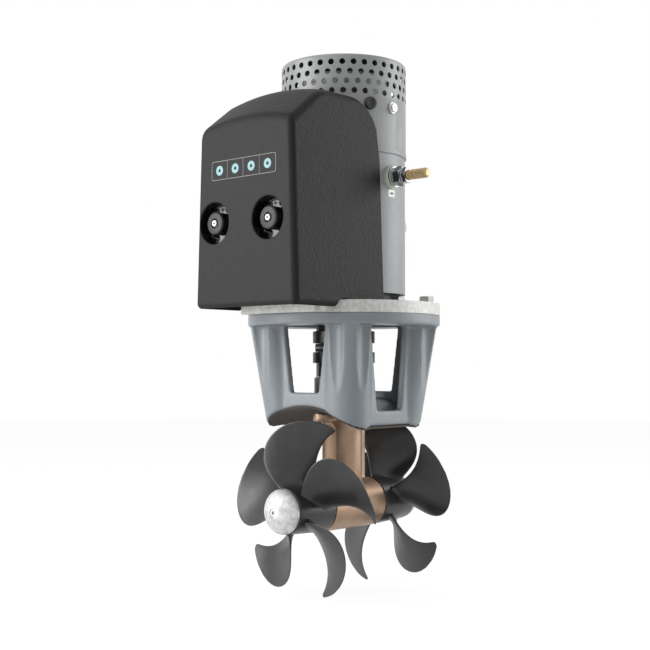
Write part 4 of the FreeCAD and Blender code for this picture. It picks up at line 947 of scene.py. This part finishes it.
def printed(name, strips, finish):
    # flat printed bands, each between two outlines of equal length
    back, face = shell["front"] + 0.01, shell["front"] - legend["raise"]
    verts, faces = [], []
    for outer, inner in strips:
        rings = [[Vector((x, y, z)) * mm for y, z in outline]
                 for x, outline in ((back, outer), (face, outer), (face, inner), (back, inner))]
        more, moreFaces = loftRings(rings, closed=True)
        faces += [tuple(f + len(verts) for f in band) for band in moreFaces]
        verts += more
    addedTo(addPiece(name, verts, faces, finish), "cover_shell")


def makeLegend():
    g = legend
    w, low, high = g["line"], g["low"], g["high"]

    def panel(inset, bend):
        left, right = g["left"] - inset, g["right"] + inset
        return rounded([(left, low + inset), (left, high - inset), (right, high - inset),
                        (right, low + inset)], bend, 5)

    strips = [(panel(0.0, g["corner"]), panel(w, g["corner"] - 0.4))]
    pitch = (g["left"] - g["right"]) / g["fields"]
    for k in range(1, g["fields"]):
        y = g["left"] - pitch * k
        strips.append([[(y - half, low + inset), (y - half, high - inset), (y + half, high - inset),
                        (y + half, low + inset)] for half, inset in ((w / 2, 0.0), (w / 9, 0.2))])
    printed("legendLines", strips, "printGrey")
    circle = [(math.cos(2 * math.pi * i / 48), math.sin(2 * math.pi * i / 48)) for i in range(48)]
    strips = []
    for k in range(g["fields"]):
        y, z = g["left"] - pitch * (k + 0.5), (low + high) / 2
        strips.append([[(y + u * r, z + v * r) for u, v in circle] for r in (g["disc"], g["hole"])])
    printed("legendDiscs", strips, "printTeal")


makeLegend()
print("legend made")


# knobs that hold the cover, on the studs of the rack
knobs = {"radius": 11.0, "face": -141.3, "length": 11.4, "bore": 3.07, "grooves": 6,
         "groove": 0.16, "eye": 4.6, "eyeDepth": 2.2}
holders = {"radius": 2.95, "tip": -142.1, "end": -67.0, "socket": 1.5, "socketDepth": 2.4,
           "nutFlats": 9.0, "nut": (3.2, 8.0), "nutBore": 2.6}


def knobGrooves(a):
    turn = knobs["grooves"] / 2 * a
    return max(0.0, math.cos(turn)) ** 4 + max(0.0, -math.cos(turn)) ** 4


def makeKnob(name, node, body, side):
    k = knobs
    r, deep, groove = k["radius"], k["length"], k["groove"]
    profile = [(k["bore"], k["eyeDepth"], 0, 0), (k["eye"] - 0.4, k["eyeDepth"], 0, 0),
               (k["eye"], k["eyeDepth"] - 0.3, 0, 0), (k["eye"], 0.4, 0, 0), (k["eye"] + 0.4, 0, 0, 0),
               (r - 1.8, 0, 0, 0), (r - 0.9, 0.25, 0, 0), (r - 0.25, 0.9, 0, 0), (r, 1.8, 0, 0),
               (r, 2.8, 0, 0), (r, 3.6, groove * 0.7, 0), (r, 4.6, groove, 0),
               (r, deep - 0.8, groove, 0), (r - 0.7, deep, groove, 0), (k["bore"], deep, 0, 0)]
    piece = wavy(name, profile, knobGrooves, "knobPlastic", (1, 0, 0),
                 (k["face"], side, bowls["height"]), 144, 40)
    standIn(piece, node, body)


def makeCoverStuds():
    h = holders
    parts = []
    length, r = h["end"] - h["tip"], h["radius"]
    for side in bowls["places"].values():
        at = (h["end"], side, bowls["height"])
        profile = socketRings(h["socket"], h["socketDepth"], length)
        profile += [(r - 0.4, length, 0, 0), (r, length - 0.4, 0, 0), (r, 0.2, 0, 0), (0.05, 0, 0, 0)]
        parts += [wavy("rod", profile, hexSocket, "whiteSteel", (-1, 0, 0), at, 72),
                  hexPiece(h["nutFlats"], *h["nut"], 0.5, (-1, 0, 0), at, "whiteSteel", h["nutBore"])]
    joined("coverStuds", parts, "cover_studs", "housing")


for name, side in bowls["places"].items():
    makeKnob("knob" + name.capitalize(), "knob_" + name, name + "_knob", side)
makeCoverStuds()
print("knobs and studs made")


# power terminals: insulator, washers, nuts and threaded stud
stack = {"height": 324.6, "turns": (270.0, 180.0), "insulator": 11.6, "seat": (60.7, 64.9, 66.0),
         "bore": 5.1, "washers": ((10.2, 66.05, 68.0), (9.2, 68.05, 70.1), (8.2, 78.25, 80.0)),
         "nuts": ((17.0, 70.2, 78.2, 1.3, "nutSteel", 0.2), (14.5, 80.05, 84.0, 0.9, "washerSteel", 0.5)),
         "busTurn": 180.0, "busNut": (17.0, 86.0, 92.0, 1.0, "nutSteel", 0.0)}
thread = {"radius": 5.0, "start": 58.0, "end": 106.9, "pitch": 1.75, "depth": 0.6, "tip": 2.2,
          "turnSteps": 8, "steps": 48}


def threadedRod(axis, centre):
    t = thread
    rings = []
    count = int((t["end"] - t["start"]) / t["pitch"] * t["turnSteps"])
    for k in range(count + 1):
        z = t["start"] + (t["end"] - t["start"]) * k / count
        tip = max(0.0, 1 - (t["end"] - z) / t["tip"])
        ring = []
        for i in range(t["steps"]):
            a = 2 * math.pi * i / t["steps"]
            part = abs(((z / t["pitch"] - i / t["steps"]) % 1.0) - 0.5) * 2
            flank = min(1.0, max(0.0, 1.25 * part - 0.12))
            reach = t["radius"] - t["depth"] * flank - 1.6 * tip ** 1.6
            ring.append(placed((reach * math.cos(a), reach * math.sin(a), z), axis, centre))
        rings.append(ring)
    verts, faces = loftRings(rings)
    return addPiece("rod", verts, faces, "brass", 50)


def makeTerminals():
    t = stack
    bore, wide = t["bore"], t["insulator"]
    low, middle, high = t["seat"]
    seat = rounded([(bore, low, 0.2), (wide, low, 0.2), (wide, middle, 0.9), (wide - 1.5, high, 0.5),
                    (bore, high, 0.2)], 0.3)
    rods, washers, nuts, seats = [], [], [], []
    for turn in t["turns"]:
        a = math.radians(turn)
        axis, at = (math.cos(a), math.sin(a), 0), (0, 0, t["height"])
        rods.append(threadedRod(axis, at))
        seats.append(turned("seat", seat, "insulator", axis, at, 72))
        washers += [collar(outer, bore, start, end, "washerSteel", axis, at)
                    for outer, start, end in t["washers"]]
        rows = t["nuts"] + ((t["busNut"],) if turn == t["busTurn"] else ())
        nuts += [hexPiece(flats, start, end, chamfer, axis, at, finish, bore, True, spin)
                 for flats, start, end, chamfer, finish, spin in rows]
    joined("terminalStuds", rods, "terminal_studs", "housing", 50)
    joined("terminalWashers", washers, "terminal_washers", "housing")
    joined("terminalNuts", nuts, "terminal_nuts", "housing")
    joined("terminalInsulators", seats, "terminal_insulators", "housing")


makeTerminals()
print("terminals made")


# small pieces on the motor: band bolt, grommet, pole screws, polarity tag
bandBolt = {"height": 393.1, "flats": 8.0, "head": (64.3, 66.8), "washer": (5.4, 0.6, 63.3, 64.35)}
grommet = {"turn": 245.0, "height": 394.4, "start": 61.5, "neckEnd": 63.6, "end": 66.3,
           "radius": 6.2, "mouth": 3.4, "hollow": 2.6}
poleScrew = {"count": 4, "reach": 58.5, "height": 280.4, "shank": (4.0, 3.2),
             "socket": (2.2, 5.35, 3.6),
             "dome": ((5.6, 3.2), (5.6, 3.5), (4.9, 4.7), (3.2, 5.3))}
polarity = {"height": 308.6, "wrap": 62.4, "corner": 0.6,
            "layers": (("polarityTag", 9.6, 7.2, 62.22, 62.6, "tagWhite"),
                       ("polarityDash", 4.6, 1.7, 62.5, 62.68, "tagBlack"))}


def makeBandBolt():
    b = bandBolt
    down, at = (0, -1, 0), (0, 0, b["height"])
    parts = [hexPiece(b["flats"], *b["head"], 0.7, down, at, "whiteSteel", 0.0, False, 0.3),
             collar(*b["washer"], "whiteSteel", down, at, 0.3)]
    joined("bandBolt", parts, "band_bolt", "housing")


def makeLeadGrommet():
    g = grommet
    a = math.radians(g["turn"])
    r, start, end = g["radius"], g["start"], g["end"]
    outline = rounded([(r, start, 0.5), (r, g["neckEnd"], 0.4), (r, end, 1.4), (g["mouth"], end, 0.9),
                       (g["hollow"], end - 1.1, 0.4), (0.05, end - 1.3, 0.01), (0.05, start, 0.01)])
    ring = turned("leadGrommet", outline, "rubber", (math.cos(a), math.sin(a), 0),
                  (0, 0, g["height"]), 64)
    standIn(ring, "lead_grommet", "housing")


def makePoleScrews():
    p = poleScrew
    shank, under = p["shank"]
    size, mouth, floor = p["socket"]
    outline = [(0.05, 0.0, 0, 0), (shank, 0.0, 0, 0), (shank, under, 0, 0)]
    outline += [(r, z, 0, 0) for r, z in p["dome"]]
    outline += [(size, mouth, 1, 0), (size, floor, 1, 0), (0.05, floor, 0, 0)]
    heads = []
    for k in range(p["count"]):
        a = math.pi / 4 + 2 * math.pi * k / p["count"]
        heads.append(wavy("head", outline, hexSocket, "whiteSteel", (math.cos(a), math.sin(a), 0),
                          (p["reach"] * math.cos(a), p["reach"] * math.sin(a), p["height"]), 72, 30,
                          False))
    joined("poleScrews", heads, "pole_screws", "housing")


def makePolarityTag():
    p = polarity
    for name, wide, tall, low, high, finish in p["layers"]:
        corners = [(-wide / 2, -tall / 2), (wide / 2, -tall / 2), (wide / 2, tall / 2),
                   (-wide / 2, tall / 2)]
        outline = rounded(corners, p["corner"])
        rings = []
        for r in (low, high):
            rings.append([Vector((r * math.sin(u / p["wrap"]), -r * math.cos(u / p["wrap"]),
                                  p["height"] + v)) * mm for u, v in outline])
        verts, faces = loftRings(rings)
        addedTo(addPiece(name, verts, faces, finish), "housing")


makeBandBolt()
makeLeadGrommet()
makePoleScrews()
makePolarityTag()
print("motor trim made")


# bolts of the adapter plate, of the motor and of the anodes
plateBolt = {"hexTurns": (45, -45), "flushTurns": (135, 225), "reach": 84.5, "height": 201.5,
             "flats": 13.0, "head": 8.4, "flushTop": -0.4, "flushRadius": 6.4, "flushEnd": -6.3,
             "socket": 3.0}
motorBolt = {"count": 4, "reach": 55, "height": 204.9, "flats": 13.0, "head": (0.02, 4.78)}
anodeScrew = {"socket": (2.0, 2.2), "top": 102.4, "head": 3.85, "seat": 100.0, "shank": 2.4,
              "end": 84.0}


def makePlateBolts():
    p = plateBolt
    r, top, end = p["flushRadius"], p["flushTop"], p["flushEnd"]
    flush = socketRings(p["socket"], p["socket"], top)
    flush += [(r - 0.5, top, 0, 0), (r, top - 0.5, 0, 0), (r, end, 0, 0), (0.05, end, 0, 0)]
    parts = []
    for k in p["hexTurns"] + p["flushTurns"]:
        a = math.radians(k)
        at = (p["reach"] * math.cos(a), p["reach"] * math.sin(a), p["height"])
        if k in p["hexTurns"]:
            parts.append(hexPiece(p["flats"], 0.0, p["head"], 1.0, (0, 0, 1), at, "plateAlloy", 0.0,
                                  False, a + 0.1))
        else:
            parts.append(wavy("head", flush, hexSocket, "plateAlloy", (0, 0, 1), at, 72, 30, False))
    joined("plateBolts", parts, "plate_bolts", "housing")


def makeMotorBolts():
    m = motorBolt
    parts = []
    for k in range(m["count"]):
        a = math.pi / 4 + 2 * math.pi * k / m["count"]
        at = (m["reach"] * math.cos(a), m["reach"] * math.sin(a), m["height"])
        parts.append(hexPiece(m["flats"], *m["head"], 0.9, (0, 0, 1), at, "whiteSteel", 0.0, False, a))
    joined("motorBolts", parts, "motor_bolts", "housing")


def makeAnodeScrews():
    s = anodeScrew
    r, top = s["head"], s["top"]
    profile = socketRings(*s["socket"], top)
    profile += [(r - 0.55, top, 0, 0), (r, top - 0.5, 0, 0), (r, s["seat"] + 0.02, 0, 0),
                (s["shank"], s["seat"], 0, 0), (s["shank"], s["end"], 0, 0), (0.05, s["end"], 0, 0)]
    parts = [wavy("head", profile, hexSocket, "whiteSteel", (side, 0, 0), (0, 0, 0), 72, 30, False)
             for side in (1, -1)]
    joined("anodeScrews", parts, "anode_screws", "propeller_train")


makePlateBolts()
makeMotorBolts()
makeAnodeScrews()
print("bolts made")


# gear leg: bronze casting with pod, finned strut and flange
leg = {"pod": 24.4, "podHalf": 38.0, "strut": 18.4, "finReach": 32.0, "finRoot": 4.5, "finTip": 2.5,
       "finRise": (5, 88), "flangeTop": 92.5, "flangeBase": 87.0, "flare": 10.0,
       "pads": (29.5, 11.5), "disc": 27.0, "neck": (19.0, 121.0), "shaftWay": (13.05, 0, 130),
       "podBores": ((20.2, -18, 39), (14.05, -33.5, 0), (12.5, -39, 0)), "boltPlace": 25.5,
       "boltHole": (3.05, 85, 95),
       "voxel": 0.0011, "easing": 7}


def finTool():
    g = leg
    outline = []
    for side in (1, -1):
        tip = g["finReach"] - g["finTip"]
        outline.append((side * g["strut"] * 0.8, side * -g["finRoot"]))
        for k in range(9):
            a = -math.pi / 2 + math.pi * k / 8
            outline.append((side * (tip + g["finTip"] * math.cos(a)), side * g["finTip"] * math.sin(a)))
        outline.append((side * g["strut"] * 0.8, side * g["finRoot"]))
    return cutter([[Vector((x, y, z)) * mm for x, y in outline] for z in g["finRise"]])


def flareTool():
    # the strut widens into the flange
    g = leg
    low, wide = g["flangeBase"] - g["flare"], g["strut"] + g["flare"]
    top = g["flangeBase"] + 4
    flare = [(0.01, low - 6)]
    flare += [(g["strut"] + g["flare"] * (k / 8) ** 2.0, low - 3 + (g["flare"] + 3) * k / 8)
              for k in range(9)]
    return turned("tool", flare + [(wide, top), (0.01, top)], "bronze", steps=128)


def makeLeg():
    g = leg
    base, top = g["flangeBase"], g["flangeTop"]
    body = plainRound(g["pod"], -g["podHalf"], g["podHalf"], (1, 0, 0), steps=160)
    tools = [plainRound(g["strut"], 0, top, steps=128), finTool(), flareTool(),
             plainRound(g["disc"], base - 3, top + 5, steps=128)]
    place, radius = g["pads"]
    tools += [plainRound(radius, base - 3, top + 1, centre=(x, 0, 0)) for x in (place, -place)]
    carve(body, tools, "UNION")
    carve(body, [plainRound(top, -60, 60, (1, 0, 0), steps=256)], "INTERSECT")
    radius, height = g["neck"]
    carve(body, [plainRound(radius, base, height)], "UNION")
    place = g["boltPlace"]
    carve(body, [plainRound(*g["shaftWay"])]
          + [plainRound(*bore, (1, 0, 0)) for bore in g["podBores"]]
          + [plainRound(*g["boltHole"], centre=(x, 0, 0)) for x in (place, -place)])
    castOver(body, g["voxel"], g["easing"], "bronze")
    body.name = "gearLegCasting"
    # the flange keeps the round of the tunnel's wall
    wall = top * mm
    for v in body.data.vertices:
        reach = math.hypot(v.co.y, v.co.z)
        if 0.08 < v.co.z < wall * 1.02 and reach > wall:
            v.co.z -= reach - wall
    standIn(body, "gear_leg", "housing")


makeLeg()
print("gear leg made")


# edges broken on the solids that keep their shape
# the drive end shield takes a dark finish that paints the shade in the gap under the yoke
brokenEdges = (("adapter_plate", 0.8), ("drive_end_shield", 0.8, "shieldCasting"),
               ("electronics_rack", 0.5), ("contactor", 1.0), ("control_box", 1.0),
               ("bus_bar", 0.4), ("contactor_studs", 0.5), ("coupling_upper", 0.8, "coupling"),
               ("coupling_lower", 0.8, "coupling"), ("brush_end_shield", 0.6),
               ("coupling_rollers", 0.5, "whiteSteel"))
for row in brokenEdges:
    eased(*row)
print("edges broken")


# camera
eye = {"at": (-909.3, -790.7, 137.8), "ahead": (0.744, 0.668), "pitch": 0.0355, "lens": 65.8,
       "sensor": 36}
lensData = bpy.data.cameras.new("camera")
lensData.lens = eye["lens"]
lensData.sensor_width = eye["sensor"]
lensData.clip_start = 0.01
camera = bpy.data.objects.new("camera", lensData)
bpy.context.collection.objects.link(camera)
camera.location = Vector(eye["at"]) * mm
ahead = Vector((eye["ahead"][0] * math.cos(eye["pitch"]), eye["ahead"][1] * math.cos(eye["pitch"]),
                math.sin(eye["pitch"])))
camera.rotation_mode = "QUATERNION"
camera.rotation_quaternion = ahead.to_track_quat("-Z", "Y")
bpy.context.scene.camera = camera


# light, floor and backdrop
studio = {"aim": (0, 0, 0.2), "room": 0.34, "roomTint": (0.9, 0.92, 0.95), "floor": -0.0885,
          "reach": 4.0, "paper": (0.9, 0.9, 0.9), "white": 0.84, "glow": 1.1}
lamps = {"keyLight": ((-1.5, 0.95, 0.6), (1.0, 1.4), 30),
         "rightLight": ((1.45, -1.15, 0.55), (1.2, 1.6), 23),
         "fillLight": ((-1.1, -1.6, 0.5), (1.2, 1.2), 1.0),
         "topLight": ((0.1, 0.1, 1.7), (1.4, 1.4), 4)}


def softBox(name, place, size, watts):
    data = bpy.data.lights.new(name, "AREA")
    data.shape = "RECTANGLE"
    data.size, data.size_y = size
    data.energy = watts
    lamp = bpy.data.objects.new(name, data)
    bpy.context.collection.objects.link(lamp)
    lamp.location = place
    lamp.rotation_mode = "QUATERNION"
    lamp.rotation_quaternion = (Vector(studio["aim"]) - Vector(place)).to_track_quat("-Z", "Y")


def whiteToEye(net, base, white, share):
    # the camera, mirrors and glass see plain white over the base, by the given share
    rays = net.node("ShaderNodeLightPath", out="Is Camera Ray")
    seen = rays
    for kind in ("Is Glossy Ray", "Is Transmission Ray"):
        seen = net.node("ShaderNodeMath", {"operation": "ADD", "use_clamp": True},
                        {0: seen, 1: rays.also(kind)})
    return net.node("ShaderNodeMixShader", {}, {0: seen * share, 1: base, 2: white})


def makeRoom():
    bpy.context.scene.world = bpy.data.worlds.new("studio")
    net = Net(bpy.context.scene.world)
    plain = net.node("ShaderNodeBackground", {}, {"Color": (1, 1, 1), "Strength": 1.0})
    room = net.node("ShaderNodeBackground", {}, {"Color": studio["roomTint"],
                                                 "Strength": studio["room"]})
    net.node("ShaderNodeOutputWorld", {}, {"Surface": whiteToEye(net, room, plain, 1.0)})


def makeFloor():
    net = newFinish("paper")
    matt = net.node("ShaderNodeBsdfDiffuse", {}, {"Color": studio["paper"]})
    glow = net.node("ShaderNodeEmission", {}, {"Strength": studio["glow"]})
    net.node("ShaderNodeOutputMaterial", {}, {"Surface": whiteToEye(net, matt, glow, studio["white"])})
    reach, height = studio["reach"], studio["floor"]
    rim = [(reach * math.cos(k * math.pi / 32), reach * math.sin(k * math.pi / 32), height)
           for k in range(64)]
    mesh = bpy.data.meshes.new("floor")
    mesh.from_pydata(rim, [], [tuple(range(64))])
    mesh.materials.append(net.owner)
    floor = bpy.data.objects.new("floor", mesh)
    bpy.context.collection.objects.link(floor)


for name, values in lamps.items():
    softBox(name, *values)
makeRoom()
makeFloor()
bpy.context.scene.view_settings.view_transform = "Standard"
print("camera and light set")
